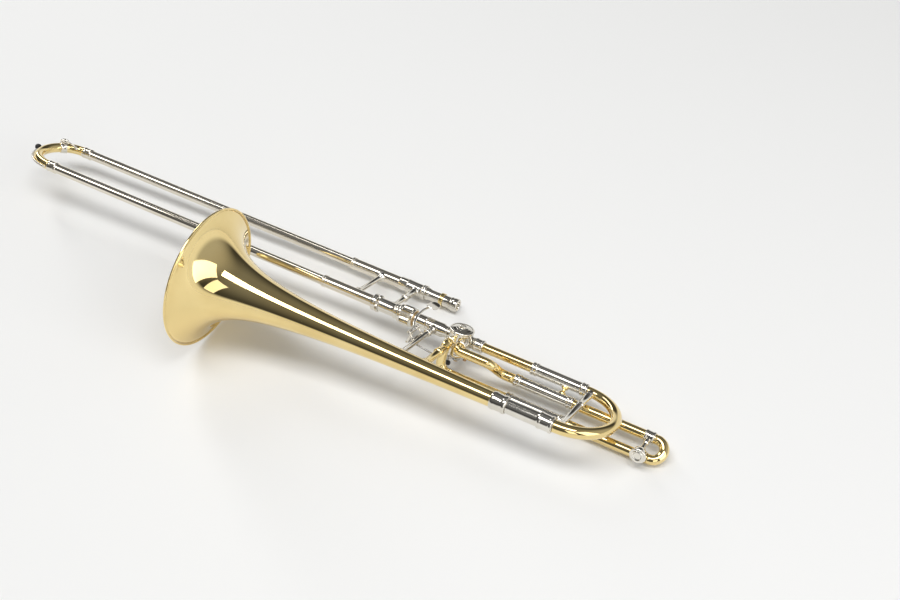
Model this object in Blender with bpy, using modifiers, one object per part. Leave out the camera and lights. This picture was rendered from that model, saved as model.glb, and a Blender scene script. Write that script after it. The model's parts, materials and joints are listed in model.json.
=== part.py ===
# Tenor trombone with one rotary valve (F attachment), laid down with its slide turned flat.
# Metres. In the instrument's own frame x runs back from the bell rim to the tuning slide,
# y runs from the bell axis to the slide axis, and z stands out of the plane of the bell section.
# The empty "rest_pose" carries that frame and lays the whole instrument on the floor, z = 0.
import math

import bmesh
import bpy
from mathutils import Matrix, Vector

GAP = 0.0003                # between pieces that touch
BOW_LEAD = 0.0015           # straight stretch at each end of a bow
AXIS_SPACING = 0.125        # bell axis to slide axis

RIM_RADIUS = 0.108
RIM_BEAD = 0.0017
BELL_LENGTH = 0.484
BELL_TAIL_RADIUS = 0.0112
BELL_FLARE = 0.79           # exponent of the flare
BELL_WALL = 0.0009
BELL_SEAM = 0.0975          # the spun flare meets the rolled tail

TUBE_RADIUS = 0.0072        # valve section tubing, outside
TUBE_WALL = 0.0006
SLEEVE_RADIUS = 0.0087      # nickel sleeves that the tuning slides run in
SLEEVE_BORE = 0.0077
LEG_RADIUS = 0.0073         # tuning slide legs
RING_RADIUS = 0.0099        # rings on the sleeve ends
RING_WIDTH = 0.009

BELL_LEG_RADIUS = 0.0091
BELL_SLEEVE_RADIUS = 0.0108
BELL_SLEEVE_BORE = 0.0096
BELL_RING_RADIUS = 0.0123

SLEEVE_END = 0.566          # both main sleeves end here
MAIN_SLEEVE_START = 0.479
LEG_START = 0.490
BOW_START = 0.5672

VALVE_X = 0.364
VALVE_OFFSET = 0.0092       # rotor axis to slide axis, also the offset of the rotor's passages
CASING_RADIUS = 0.018
CASING_BORE = 0.0156
CASING_TOP = 0.017
CASING_BOTTOM = -0.020
CASING_FLOOR = 0.005
ROTOR_RADIUS = 0.0151
PASSAGE_RADIUS = 0.0060
STUB_RADIUS = 0.0086
F_STUB_REACH = 0.0186       # rotor axis to the ends of the two F ports
MAIN_STUB_REACH = 0.0215
SPINDLE_RADIUS = 0.003
ROTOR_ARM = 0.012           # rotor axis to the linkage pin
PIN_HEIGHT = -0.0335

RECEIVER_FRONT = 0.268
RECEIVER_RADIUS = 0.0105
COLLAR_RADIUS = 0.0122
NUT_RADIUS = 0.0148

F_FRONT = Vector((0.3732, 0.0869, 0.0))     # upper F tube where it leaves the valve
F_UPPER = Vector((0.0, 0.1065, -0.0185))    # upper F leg, clear of the main bow when that is drawn out
F_LOWER = Vector((0.0, 0.083, -0.039))      # lower F leg
F_SLEEVE = (0.464, 0.557)
F_RING = (0.668, 0.683)
F_BOW_START = 0.6855
KNOB_DIP = math.radians(12)                 # the knob points aside and a little down

FRONT_BRACE_X = 0.318
REAR_BRACE_X = 0.3548
BRACE_RADIUS = 0.004

HINGE = Vector((0.304, 0.079, 0.008))       # thumb trigger's pivot, parallel to the front brace
HINGE_SPAN = 0.026
TRIGGER_ARM = 0.027
TRIGGER_SWING = math.radians(36)

SLIDE_SPACING = 0.088
SLIDE_BORE = 0.0070
SLIDE_RADIUS = 0.0076
INNER_RADIUS = 0.0066
INNER_BORE = 0.0061
STOCKING_RADIUS = 0.0068
SLIDE_FRONT = -0.4005       # front end of the outer tubes
SLIDE_REAR = 0.2435         # rear end of the outer tubes, against the corks
GRIP_START = 0.125
GRIP_END = 0.2105
GRIP_RADIUS = 0.0088
OUTER_BRACE_X = 0.180
BARREL = (0.212, 0.2575)
BARREL_RADIUS = 0.0105
BARREL_BORE = 0.0092
BARREL_STEP = 0.249
INNER_BRACE_X = 0.241
MOUTHPIECE_END = 0.312
CROOK_RADIUS = SLIDE_SPACING / 2
CROOK_TUBE = 0.0078
GUARD_RADIUS = 0.0018
WATER_KEY_ANGLE = math.radians(45)

BRASS = ("lacquered_brass", (0.82, 0.63, 0.27), 0.10, 1.0)
NICKEL = ("nickel_silver", (0.80, 0.78, 0.72), 0.12, 1.0)
CHROME = ("chromed_tube", (0.86, 0.85, 0.82), 0.08, 1.0)
RAW_BRASS = ("raw_brass", (0.72, 0.52, 0.26), 0.42, 1.0)
STEEL = ("steel", (0.58, 0.58, 0.57), 0.25, 1.0)
CORK = ("cork", (0.58, 0.40, 0.24), 0.90, 0.0)
RUBBER = ("black_rubber", (0.03, 0.03, 0.03), 0.60, 0.0)

for old in list(bpy.data.objects):
    bpy.data.objects.remove(old)

PARTS = bpy.data.collections.new("trombone")
CUTTERS = bpy.data.collections.new("cutters")
for group in (PARTS, CUTTERS):
    bpy.context.scene.collection.children.link(group)
REST = bpy.data.objects.new("rest_pose", None)
PARTS.objects.link(REST)


def finish_of(finish):
    name, colour, roughness, metallic = finish
    mat = bpy.data.materials.get(name)
    if mat is None:
        mat = bpy.data.materials.new(name)
        mat.use_nodes = True
        shader = mat.node_tree.nodes["Principled BSDF"]
        shader.inputs["Base Color"].default_value = (*colour, 1.0)
        shader.inputs["Roughness"].default_value = roughness
        shader.inputs["Metallic"].default_value = metallic
    return mat


def place(name, data, finish, at=(0, 0, 0), along=(0, 0, 1)):
    """Adds an object whose own z axis points along the given direction."""
    obj = bpy.data.objects.new(name, data)
    PARTS.objects.link(obj)
    data.materials.append(finish_of(finish))
    obj.parent = REST
    obj.location = at
    obj.rotation_mode = "QUATERNION"
    obj.rotation_quaternion = Vector((0, 0, 1)).rotation_difference(Vector(along))
    return obj


def turned(name, outline, finish, at=(0, 0, 0), along=(1, 0, 0), sides=12, wall=0.0):
    """Turns an outline of (radius, height) points, listed from the top down the outer side."""
    solid = outline[0][0] == 0 or wall
    mesh = bpy.data.meshes.new(name)
    count = len(outline)
    edges = [(i, (i + 1) % count) for i in range(count - 1 if solid else count)]
    mesh.from_pydata([(r, 0, h) for r, h in outline], edges, [])
    obj = place(name, mesh, finish, at, along)
    screw = obj.modifiers.new("turn", "SCREW")
    screw.axis = "Z"
    screw.steps = screw.render_steps = sides
    screw.use_merge_vertices = True
    screw.merge_threshold = 0.00001
    screw.use_smooth_shade = True
    if wall:
        shell = obj.modifiers.new("wall", "SOLIDIFY")
        shell.thickness = wall
        shell.offset = -1
        shell.use_even_offset = True
    return obj


def ring(outer, bore, start, end):
    return [(outer, end), (outer, start), (bore, start), (bore, end)]


def swept(name, points, radii, finish, wall=0.0, resolution=3):
    """Runs a round tube, or a rod where wall is 0, along the points."""
    if not isinstance(radii, list):
        radii = [radii] * len(points)
    curve = bpy.data.curves.new(name, "CURVE")
    curve.dimensions = "3D"
    curve.bevel_depth = max(radii)
    curve.bevel_resolution = resolution
    curve.use_fill_caps = not wall
    spline = curve.splines.new("POLY")
    spline.points.add(len(points) - 1)
    for knot, point, radius in zip(spline.points, points, radii):
        knot.co = (*point, 1)
        knot.radius = radius / max(radii)
    obj = place(name, curve, finish)
    if wall:
        shell = obj.modifiers.new("wall", "SOLIDIFY")
        shell.thickness = wall
        shell.offset = -1
    return obj


def as_mesh(obj):
    """Replaces a curve object by a welded mesh object of the same name and place."""
    bpy.context.view_layer.update()
    graph = bpy.context.evaluated_depsgraph_get()
    mesh = bpy.data.meshes.new_from_object(obj.evaluated_get(graph))
    edit = bmesh.new()
    edit.from_mesh(mesh)
    bmesh.ops.remove_doubles(edit, verts=edit.verts, dist=0.00001)
    bmesh.ops.recalc_face_normals(edit, faces=edit.faces)
    edit.to_mesh(mesh)
    edit.free()
    name = obj.name
    parent, where = obj.parent, obj.matrix_world.copy()
    bpy.data.objects.remove(obj)
    solid = bpy.data.objects.new(name, mesh)
    PARTS.objects.link(solid)
    solid.parent = parent
    solid.matrix_world = where
    return solid


def boolean(target, tool, operation):
    mod = target.modifiers.new(tool.name, "BOOLEAN")
    mod.operation = operation
    mod.solver = "EXACT"
    mod.object = tool
    PARTS.objects.unlink(tool)
    CUTTERS.objects.link(tool)
    tool.hide_render = True
    tool.display_type = "WIRE"


def cut(target, *tools):
    for tool in tools:
        boolean(target, tool, "DIFFERENCE")


def fuse(target, *tools):
    for tool in tools:
        boolean(target, tool, "UNION")


def rod(name, start, end, radius, finish, sides=12):
    start, end = Vector(start), Vector(end)
    length = (end - start).length
    outline = [(0, length), (radius, length), (radius, 0), (0, 0)]
    return turned(name, outline, finish, start, end - start, sides)


def bent(corners, bends, steps=3):
    """Points along a line through the corners, each rounded to its bend radius."""
    points = [corners[0]]
    for before, corner, after, bend in zip(corners, corners[1:], corners[2:], bends):
        inward = (corner - before).normalized()
        onward = (after - corner).normalized()
        turn = inward.angle(onward)
        reach = bend * math.tan(turn / 2)
        side = (onward - inward * inward.dot(onward)).normalized()
        start = corner - inward * reach
        for i in range(steps + 1):
            a = turn * i / steps
            points.append(start + inward * bend * math.sin(a) + side * bend * (1 - math.cos(a)))
    points.append(corners[-1])
    return points


def half_turn(start, end, bulge, steps):
    """Points of a half circle from start to end, bulging along a unit direction, with straight ends."""
    middle = (start + end) / 2 + bulge * BOW_LEAD
    spoke = (start - end) / 2
    arc = [math.pi * i / steps for i in range(steps + 1)]
    turn = [middle + spoke * math.cos(a) + bulge * spoke.length * math.sin(a) for a in arc]
    return [start, *turn, end]


def bell_radius(x):
    reach = BELL_LENGTH / ((RIM_RADIUS / BELL_TAIL_RADIUS) ** (1 / BELL_FLARE) - 1)
    return RIM_RADIUS * ((x + reach) / reach) ** -BELL_FLARE


def brace(name, start, end, start_radius, end_radius, shape, across=((1, 0, 0), (1, 0, 0))):
    """A turned stay between two tube axes, its ends cut to sit on tubes of the given radii."""
    start, end = Vector(start), Vector(end)
    span = end - start
    outline = [(0, span.length)] + [(r, share * span.length) for r, share in shape] + [(0, 0)]
    stay = turned(name, outline, NICKEL, start, span, 12)
    for at, radius, axis in ((start, start_radius, across[0]), (end, end_radius, across[1])):
        axis = Vector(axis)
        cut(stay, rod(f"{name}_seat", at - axis * 0.03, at + axis * 0.03, radius + GAP, STEEL, 20))
    return stay


def flanged(thick_from=None):
    """Outline shares of a stay: a flange at each end, and a thicker half beyond thick_from."""
    flange, foot = 0.0075, 0.10
    shape = [(flange, 1.0), (flange, 1 - foot), (BRACE_RADIUS, 1 - foot - 0.03)]
    if thick_from:
        shape[2] = (BRACE_RADIUS * 1.35, 1 - foot - 0.03)
        shape += [(BRACE_RADIUS * 1.35, thick_from), (BRACE_RADIUS, thick_from - 0.02)]
    return shape + [(BRACE_RADIUS, foot + 0.03), (flange, foot), (flange, 0.0)]


def bell_section():
    steps = 12
    spread = [BELL_LENGTH * (i / steps) ** 2.2 for i in range(steps + 1)]
    edge = RIM_RADIUS - 2 * RIM_BEAD - GAP
    outline = [(bell_radius(x), x) for x in reversed(spread) if bell_radius(x) < edge - 0.002]
    rim_x = BELL_LENGTH * 0.0012
    seam = [i for i, (r, x) in enumerate(outline) if x < BELL_SEAM][0]
    tail = outline[:seam] + [(bell_radius(BELL_SEAM + GAP), BELL_SEAM + GAP)]
    flare = [(bell_radius(BELL_SEAM), BELL_SEAM)] + outline[seam:] + [(edge, rim_x)]
    turned("bell_tail", tail, BRASS, sides=28, wall=BELL_WALL)
    turned("bell_flare", flare, BRASS, sides=28, wall=BELL_WALL)
    bead = [(RIM_RADIUS - RIM_BEAD + RIM_BEAD * math.cos(a), rim_x + RIM_BEAD * math.sin(a))
            for a in (math.pi / 2 - math.tau * i / 6 for i in range(6))]
    turned("bell_rim_bead", bead, BRASS, sides=28)

    joint = BELL_LENGTH + GAP
    wide = bell_radius(0.472) + GAP
    turned("bell_ferrule", [(0.0124, 0.496), (0.0133, 0.492), (0.0133, 0.476), (0.0128, 0.472),
                            (wide, 0.472), (wide, joint), (BELL_SLEEVE_RADIUS + GAP, joint),
                            (BELL_SLEEVE_RADIUS + GAP, 0.496)], NICKEL, sides=28)
    turned("bell_leg_sleeve", [(BELL_RING_RADIUS, SLEEVE_END), (BELL_RING_RADIUS, 0.545),
                               (BELL_SLEEVE_RADIUS, 0.543), (BELL_SLEEVE_RADIUS, joint + GAP),
                               (BELL_SLEEVE_BORE, joint + GAP), (BELL_SLEEVE_BORE, SLEEVE_END)], NICKEL)


def receiver():
    at = (0, AXIS_SPACING, 0)
    end = VALVE_X - MAIN_STUB_REACH - GAP
    seat = 0.310
    turned("slide_receiver", [(STUB_RADIUS, end), (STUB_RADIUS, 0.335), (RECEIVER_RADIUS, 0.331),
                              (RECEIVER_RADIUS, RECEIVER_FRONT), (0.0088, RECEIVER_FRONT), (0.0084, seat),
                              (PASSAGE_RADIUS, seat), (PASSAGE_RADIUS, end)], NICKEL, at)
    collar = [(COLLAR_RADIUS, 0.284), (COLLAR_RADIUS, RECEIVER_FRONT + 0.001), (0.0114, RECEIVER_FRONT),
              (RECEIVER_RADIUS + GAP, RECEIVER_FRONT), (RECEIVER_RADIUS + GAP, 0.284)]
    turned("receiver_thread_collar", collar, RAW_BRASS, at)


def valve():
    centre = Vector((VALVE_X, AXIS_SPACING - VALVE_OFFSET, 0))
    up = (0, 0, 1)
    hub = 0.008
    floor_top = CASING_BOTTOM + CASING_FLOOR
    hole = SPINDLE_RADIUS + GAP
    hub_foot = CASING_BOTTOM - 0.0028
    body = [(0, CASING_TOP), (CASING_RADIUS, CASING_TOP), (CASING_RADIUS, CASING_BOTTOM),
            (hub, CASING_BOTTOM), (hub, hub_foot), (0, hub_foot)]
    casing = turned("valve_casing", body, NICKEL, centre, up, 20)
    along, down = Vector((1, 0, 0)), Vector((0, -1, 0))
    right, left = Vector((0, VALVE_OFFSET, 0)), Vector((VALVE_OFFSET, 0, 0))
    ports = [(right, along, MAIN_STUB_REACH), (right, -along, MAIN_STUB_REACH),
             (left, down, F_STUB_REACH), (-left, down, F_STUB_REACH)]
    for aside, way, reach in ports:
        foot = centre + aside
        stub = ring(STUB_RADIUS, PASSAGE_RADIUS, 0.002, reach)
        fuse(casing, turned("port_stub", stub, NICKEL, foot, way))
    for aside, way, reach in ports:
        foot = centre + aside
        cut(casing, rod("port_bore", foot + way * 0.008, foot + way * (reach - 0.0004),
                        PASSAGE_RADIUS - 0.0002, STEEL, 14))
    above, below = CASING_TOP + 0.005, CASING_BOTTOM - 0.01
    bore = [(0, above), (CASING_BORE, above), (CASING_BORE, floor_top), (hole, floor_top), (hole, below),
            (0, below)]
    cut(casing, turned("casing_bore", bore, NICKEL, centre, up, 20))

    top, bottom = 0.0120, floor_top + GAP
    spindle = [(0, 0.0160), (SPINDLE_RADIUS, 0.0160), (SPINDLE_RADIUS, top), (ROTOR_RADIUS, top),
               (ROTOR_RADIUS, bottom), (SPINDLE_RADIUS, bottom), (SPINDLE_RADIUS, PIN_HEIGHT),
               (0, PIN_HEIGHT)]
    rotor = turned("rotor", spindle, RAW_BRASS, centre, up, 20)
    for side in (right, -right):
        cut(rotor, rod("rotor_passage", centre + side - along * 0.03, centre + side + along * 0.03,
                       PASSAGE_RADIUS, STEEL))

    plate_top = CASING_TOP - 0.0012
    plate = ring(CASING_BORE - GAP, hole, top + GAP, plate_top)
    turned("valve_bearing_plate", plate, RAW_BRASS, centre, up, 20)
    cap_foot = CASING_TOP + GAP
    cap = [(0.0016, 0.0262), (0.0048, 0.0262), (0.0056, 0.0252), (0.0056, 0.0226), (0.0140, 0.0212),
           (0.0172, 0.0206), (0.0184, 0.0196), (0.0184, cap_foot), (0.0016, cap_foot)]
    turned("valve_cap", cap, NICKEL, centre, up, 20)

    rest = math.radians(225)
    pin = centre + Vector((math.cos(rest), math.sin(rest), 0)) * ROTOR_ARM
    level = centre + Vector((0, 0, -0.0272))
    arm = turned("rotor_stop_arm", ring(0.0062, hole, -0.0302, -0.0242), STEEL, centre, up, 14)
    outward = (pin - centre).normalized()
    inner, outer = outward * 0.0045, outward * (ROTOR_ARM + 0.002)
    bar = rod("stop_arm_bar", level + inner, level + outer, 0.0024, STEEL, 8)
    lug = rod("stop_arm_lug", level - inner, level - outer, 0.0024, STEEL, 8)
    post = level + outward * ROTOR_ARM
    stud = rod("stop_arm_stud", post, pin + Vector((0, 0, PIN_HEIGHT)), 0.0016, STEEL, 8)
    fuse(arm, bar, lug, stud)

    for name, angle in (("rest_stop_bumper", 20), ("open_stop_bumper", 160)):
        a = math.radians(angle)
        foot = centre + Vector((math.cos(a), math.sin(a), 0)) * 0.013
        top, end = Vector((0, 0, CASING_BOTTOM - GAP)), Vector((0, 0, -0.0305))
        rod(name, foot + end, foot + top, 0.0027, CORK)
    return pin


def gooseneck():
    at = (0, AXIS_SPACING, 0)
    start = VALVE_X + MAIN_STUB_REACH + GAP
    turned("gooseneck", ring(TUBE_RADIUS, TUBE_RADIUS - TUBE_WALL, start, 0.487), BRASS, at)
    turned("gooseneck_ferrule", [(0.0095, 0.3995), (0.0101, 0.398), (0.0101, 0.3865), (0.0095, 0.385),
                                 (STUB_RADIUS + GAP, 0.385), (STUB_RADIUS + GAP, start),
                                 (TUBE_RADIUS + GAP, start), (TUBE_RADIUS + GAP, 0.3995)], NICKEL, at)
    tuning_sleeve("gooseneck_sleeve", MAIN_SLEEVE_START, SLEEVE_END, at)


def tuning_sleeve(name, start, end, at):
    """A nickel sleeve with a ring at each end."""
    step = RING_WIDTH + 0.001
    turned(name, [(RING_RADIUS, end), (RING_RADIUS, end - RING_WIDTH), (SLEEVE_RADIUS, end - step),
                  (SLEEVE_RADIUS, start + step), (RING_RADIUS, start + RING_WIDTH), (RING_RADIUS, start),
                  (SLEEVE_BORE, start), (SLEEVE_BORE, end)], NICKEL, at)


def f_lower_path():
    """From the valve's front F port down under the valve and back to the lower F leg."""
    port = Vector((2 * VALVE_X - F_FRONT.x, AXIS_SPACING - VALVE_OFFSET - F_STUB_REACH - GAP, 0))
    drop = Vector((port.x, F_LOWER.y, 0))
    turn = drop + Vector((0, 0, F_LOWER.z))
    return bent([port, drop, turn, F_LOWER + Vector((0.470, 0, 0))], [0.0116, 0.015])


def f_tubing():
    out = Vector((F_FRONT.x, AXIS_SPACING - VALVE_OFFSET - F_STUB_REACH - GAP, 0))
    upper = bent([out, F_FRONT, Vector((0.426, F_FRONT.y, 0)), F_UPPER + Vector((0.442, 0, 0)),
                  F_UPPER + Vector((0.470, 0, 0))], [0.0076, 0.015, 0.015])
    swept("f_upper_tube", upper, TUBE_RADIUS, BRASS, TUBE_WALL)
    swept("f_lower_tube", f_lower_path(), TUBE_RADIUS, BRASS, TUBE_WALL)
    tuning_sleeve("f_upper_sleeve", *F_SLEEVE, F_UPPER)
    tuning_sleeve("f_lower_sleeve", *F_SLEEVE, F_LOWER)
    x = Vector((0.535, 0, 0))
    brace("f_tube_brace", Vector((0, AXIS_SPACING, 0)) + x, F_UPPER + x, SLEEVE_RADIUS, SLEEVE_RADIUS,
          [(0.0052, 1.0), (0.0052, 0.60), (0.0026, 0.56), (0.0026, 0.44), (0.0052, 0.40), (0.0052, 0.0)])


def braces():
    x = Vector((FRONT_BRACE_X, 0, 0))
    collar = [(0.0052, 0.83), (0.0060, 0.82), (0.0060, 0.79), (0.0052, 0.78)]
    shape = flanged()
    brace("front_bell_brace", x, x + Vector((0, AXIS_SPACING, 0)), bell_radius(FRONT_BRACE_X - 0.008),
          RECEIVER_RADIUS, shape[:3] + [(BRACE_RADIUS, 0.835)] + collar + [(BRACE_RADIUS, 0.775)] + shape[3:])
    x = Vector((REAR_BRACE_X, 0, 0))
    foot, head = x + Vector((0, 0, -0.003)), x + Vector((0, 0.089, -0.003))
    outline = [(0, 0.089), (0.0062, 0.089), (0.0062, 0.070), (0.0072, 0.0685), (0.0072, 0.0630),
               (0.0054, 0.0615), (0.0054, 0.027), (0.0082, 0.022), (0.0082, 0), (0, 0)]
    stay = turned("rear_bell_brace", outline, BRASS, foot, head - foot)
    seat = bell_radius(REAR_BRACE_X - 0.009) + GAP
    reach = Vector((0.03, 0, 0))
    cut(stay, rod("rear_bell_brace_foot", x - reach, x + reach, seat, STEEL, 20),
        as_mesh(swept("rear_bell_brace_head", f_lower_path(), TUBE_RADIUS + GAP, STEEL)))


def trigger(pin):
    """The thumb trigger, its bracket on the front brace, and the rod down to the rotor arm."""
    aside = Vector((0, HINGE_SPAN / 2, 0))
    y = (0, 1, 0)
    eye = [(0.0034, 0.002), (0.0034, -0.002), (0.0018, -0.002), (0.0018, 0.002)]
    post_x = FRONT_BRACE_X - BRACE_RADIUS - 0.0016 - GAP
    middle = Vector((post_x, HINGE.y, 0))
    bar = aside + Vector((0, 0.003, 0))
    bracket = rod("trigger_bracket", middle - bar, middle + bar, 0.0016, NICKEL, 8)
    for side in (-aside, aside):
        foot = middle + side
        top = HINGE + side
        reach = (foot - top).normalized() * 0.0026
        fuse(bracket, rod("bracket_post", foot, top + reach, 0.0015, NICKEL, 8),
             turned("bracket_eye", eye, NICKEL, top, y, 12))
    rod("trigger_hinge_pin", HINGE - aside * 1.2, HINGE + aside * 1.2, 0.0014, STEEL, 12)

    hub_half = HINGE_SPAN / 2 - 0.002 - 2 * GAP
    hub = [(0, hub_half), (0.0032, hub_half), (0.0032, -hub_half), (0, -hub_half)]
    lever = turned("thumb_trigger", hub, NICKEL, HINGE, y, 12)
    lift = [(0, 0, 0.0025), (-0.0035, 0.006, 0.0055), (-0.0065, 0.016, 0.0085), (-0.0075, 0.027, 0.0125),
            (-0.0055, 0.037, 0.0168), (-0.002, 0.046, 0.0187)]
    arm = as_mesh(swept("trigger_arm", [HINGE + Vector(p) for p in lift], 0.0021, NICKEL, resolution=2))
    plate = rounded_plate("trigger_plate", 0.017, 0.028, 0.006, 0.0018)
    plate.location = HINGE + Vector((0.001, 0.054, 0.0195))
    plate.rotation_mode = "XYZ"
    plate.rotation_euler = (math.radians(-6), math.radians(8), 0)
    fall = TRIGGER_SWING / 2
    tail = HINGE + Vector((-math.sin(fall), 0, -math.cos(fall))) * TRIGGER_ARM + Vector((0, 0.005, 0))
    root = HINGE + (tail - HINGE).normalized() * 0.0026 + Vector((0, 0.004, 0))
    drop = rod("trigger_tail", root, tail, 0.0019, NICKEL, 8)
    stud = rod("trigger_stud", tail - Vector((0, 0.002, 0)), tail + Vector((0, 0.009, 0)), 0.0014, NICKEL, 10)
    fuse(lever, arm, as_mesh(plate), drop, stud)
    cut(lever, rod("trigger_hinge_bore", HINGE - aside * 1.5, HINGE + aside * 1.5, 0.0018, STEEL, 14))

    start = tail + Vector((0, 0.006, 0))
    end = Vector((pin.x, pin.y, PIN_HEIGHT - 0.0035))
    way = (end - start).normalized()
    link = turned("linkage_rod", [(0.0036, 0.0017), (0.0036, -0.0017), (0.0018, -0.0017), (0.0018, 0.0017)],
                  STEEL, start, y, 16)
    fuse(link, rod("link_wire", start + way * 0.0028, end - way * (0.0046 + GAP), 0.0014, STEEL, 8))
    joint = [(0, 0.0030), (0.0036, 0.0030), (0.0046, 0.0018), (0.0046, -0.0018), (0.0036, -0.0030),
             (0, -0.0030)]
    turned("linkage_ball_joint", joint, RUBBER, end, (0, 0, 1), 12)


def rounded_plate(name, width, length, corner, thickness):
    """A flat plate with round corners, centred in x and y."""
    curve = bpy.data.curves.new(name, "CURVE")
    curve.dimensions = "2D"
    curve.fill_mode = "BOTH"
    curve.extrude = thickness / 2
    spline = curve.splines.new("POLY")
    knots = []
    for turn, (sx, sy) in enumerate(((1, 1), (-1, 1), (-1, -1), (1, -1))):
        centre = Vector((sx * (width / 2 - corner), sy * (length / 2 - corner)))
        for i in range(5):
            a = math.pi / 2 * (turn + i / 4)
            knots.append(centre + Vector((math.cos(a), math.sin(a))) * corner)
    spline.points.add(len(knots) - 1)
    for knot, point in zip(spline.points, knots):
        knot.co = (*point, 0, 1)
    spline.use_cyclic_u = True
    return place(name, curve, NICKEL)


def main_tuning_slide():
    goose = Vector((BOW_START, AXIS_SPACING, 0))
    bell = Vector((BOW_START, 0, 0))
    steps = 13
    path = half_turn(goose, bell, Vector((1, 0, 0)), steps)
    swell = [LEG_RADIUS + (BELL_LEG_RADIUS - LEG_RADIUS) * i / (steps + 2) for i in range(steps + 3)]
    swept("main_slide_bow", path, swell, BRASS, TUBE_WALL)
    end = BOW_START - GAP
    turned("main_slide_gooseneck_leg", ring(LEG_RADIUS, LEG_RADIUS - TUBE_WALL, LEG_START, end), NICKEL,
           (0, AXIS_SPACING, 0))
    turned("main_slide_bell_leg", ring(BELL_LEG_RADIUS, BELL_LEG_RADIUS - TUBE_WALL, LEG_START, end), NICKEL)
    x = Vector((0.0062, 0, 0))
    stay = brace("main_slide_brace", bell + x, goose + x, BELL_LEG_RADIUS - GAP, LEG_RADIUS - GAP,
                 [(0.0060, 1.0), (0.0060, 0.91), (0.0056, 0.90), (0.0056, 0.62), (0.0046, 0.60),
                  (0.0046, 0.13), (0.0060, 0.11), (0.0060, 0.0)])
    cut(stay, as_mesh(swept("main_brace_seat", path, [r + GAP for r in swell], STEEL)))


def f_tuning_slide():
    for name, leg in (("upper", F_UPPER), ("lower", F_LOWER)):
        tube = ring(LEG_RADIUS, LEG_RADIUS - TUBE_WALL, 0.474, F_BOW_START - GAP)
        turned(f"f_slide_{name}_leg", tube, BRASS, leg)
        start, end = F_RING
        hold = LEG_RADIUS + GAP
        band = [(0.0086, end), (0.0092, end - 0.002), (0.0092, start + 0.002), (0.0086, start), (hold, start),
                (hold, end)]
        turned(f"f_slide_{name}_ferrule", band, NICKEL, leg)
    bow = Vector((F_BOW_START, 0, 0))
    path = half_turn(F_UPPER + bow, F_LOWER + bow, Vector((1, 0, 0)), 8)
    swept("f_slide_bow", path, LEG_RADIUS, BRASS, TUBE_WALL)
    foot = F_UPPER + Vector((sum(F_RING) / 2, 0, 0))
    reach = 0.049
    outline = [(0, reach), (0.0105, reach - 0.0008), (0.0125, reach - 0.0022), (0.0125, reach - 0.0050),
               (0.0108, reach - 0.0062), (0.0102, reach - 0.0105), (0.0082, reach - 0.0150),
               (0.0046, reach - 0.0182), (0.0046, reach - 0.0215), (0.0030, reach - 0.0225), (0.0030, 0.0175),
               (0.0042, 0.0165), (0.0042, 0.0), (0, 0.0)]
    knob = turned("f_slide_knob", outline, NICKEL, foot, (0, -math.cos(KNOB_DIP), -math.sin(KNOB_DIP)), 14)
    cut(knob, rod("f_slide_knob_seat", foot - Vector((0.02, 0, 0)), foot + Vector((0.02, 0, 0)), 0.0092 + GAP,
                  STEEL, 24))


def inner_slide():
    lower = Vector((0, AXIS_SPACING, 0))
    upper = lower + Vector((0, SLIDE_SPACING, 0))
    front, rear = BARREL
    tip, end = SLIDE_FRONT + 0.006, rear - GAP
    hold = INNER_RADIUS + GAP
    tube = [(INNER_RADIUS, end), (INNER_RADIUS, -0.296), (STOCKING_RADIUS, -0.300), (STOCKING_RADIUS, tip),
            (INNER_BORE, tip), (INNER_BORE, end)]
    barrel = [(0.0112, rear), (0.0118, rear - 0.001), (0.0118, rear - 0.006), (BARREL_RADIUS, rear - 0.007),
              (BARREL_RADIUS, front), (BARREL_BORE, front), (BARREL_BORE, BARREL_STEP), (hold, BARREL_STEP),
              (hold, rear)]
    bumper = ring(BARREL_BORE - GAP, hold, SLIDE_REAR + 0.0018, BARREL_STEP - GAP)
    for name, at in (("upper", upper), ("lower", lower)):
        turned(f"inner_slide_{name}_tube", tube, CHROME, at)
        turned(f"{name}_cork_barrel", barrel, NICKEL, at)
        turned(f"{name}_cork_bumper", bumper, CORK, at)
    brace("inner_slide_brace", lower + Vector((INNER_BRACE_X, 0, 0)), upper + Vector((INNER_BRACE_X, 0, 0)),
          BARREL_RADIUS, BARREL_RADIUS, flanged(0.5))

    start = rear + GAP
    turned("mouthpiece_receiver", [(0.0106, MOUTHPIECE_END), (0.0106, MOUTHPIECE_END - 0.009),
                                   (0.0092, MOUTHPIECE_END - 0.012), (0.0086, 0.275), (0.0086, start + 0.004),
                                   (0.0098, start + 0.003), (0.0098, start), (0.0055, start), (0.0055, 0.272),
                                   (0.0070, MOUTHPIECE_END)], NICKEL, upper)
    turned("mouthpiece_receiver_band", ring(0.0103, 0.0090 + GAP, 0.282, 0.288), BRASS, upper)
    turned("slide_tenon", [(0.0079, 0.306), (0.0083, RECEIVER_FRONT), (0.0083, start), (0.0060, start),
                           (0.0060, 0.306)], NICKEL, lower)
    lip = 0.266
    nut_end = RECEIVER_FRONT + 0.0155
    nut_start = start + 0.0005
    nut = [(NUT_RADIUS - 0.001, nut_end), (NUT_RADIUS, nut_end - 0.001), (NUT_RADIUS, nut_start + 0.0015),
           (NUT_RADIUS - 0.0015, nut_start), (0.0086, nut_start), (0.0086, lip), (COLLAR_RADIUS + GAP, lip),
           (COLLAR_RADIUS + GAP, nut_end)]
    turned("connecting_nut", nut, NICKEL, lower, sides=24)
    lock = ring(0.0129, BARREL_RADIUS + GAP, front + 0.0008, front + 0.0125)
    turned("slide_lock_ring", lock, NICKEL, lower, sides=24)


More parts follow.
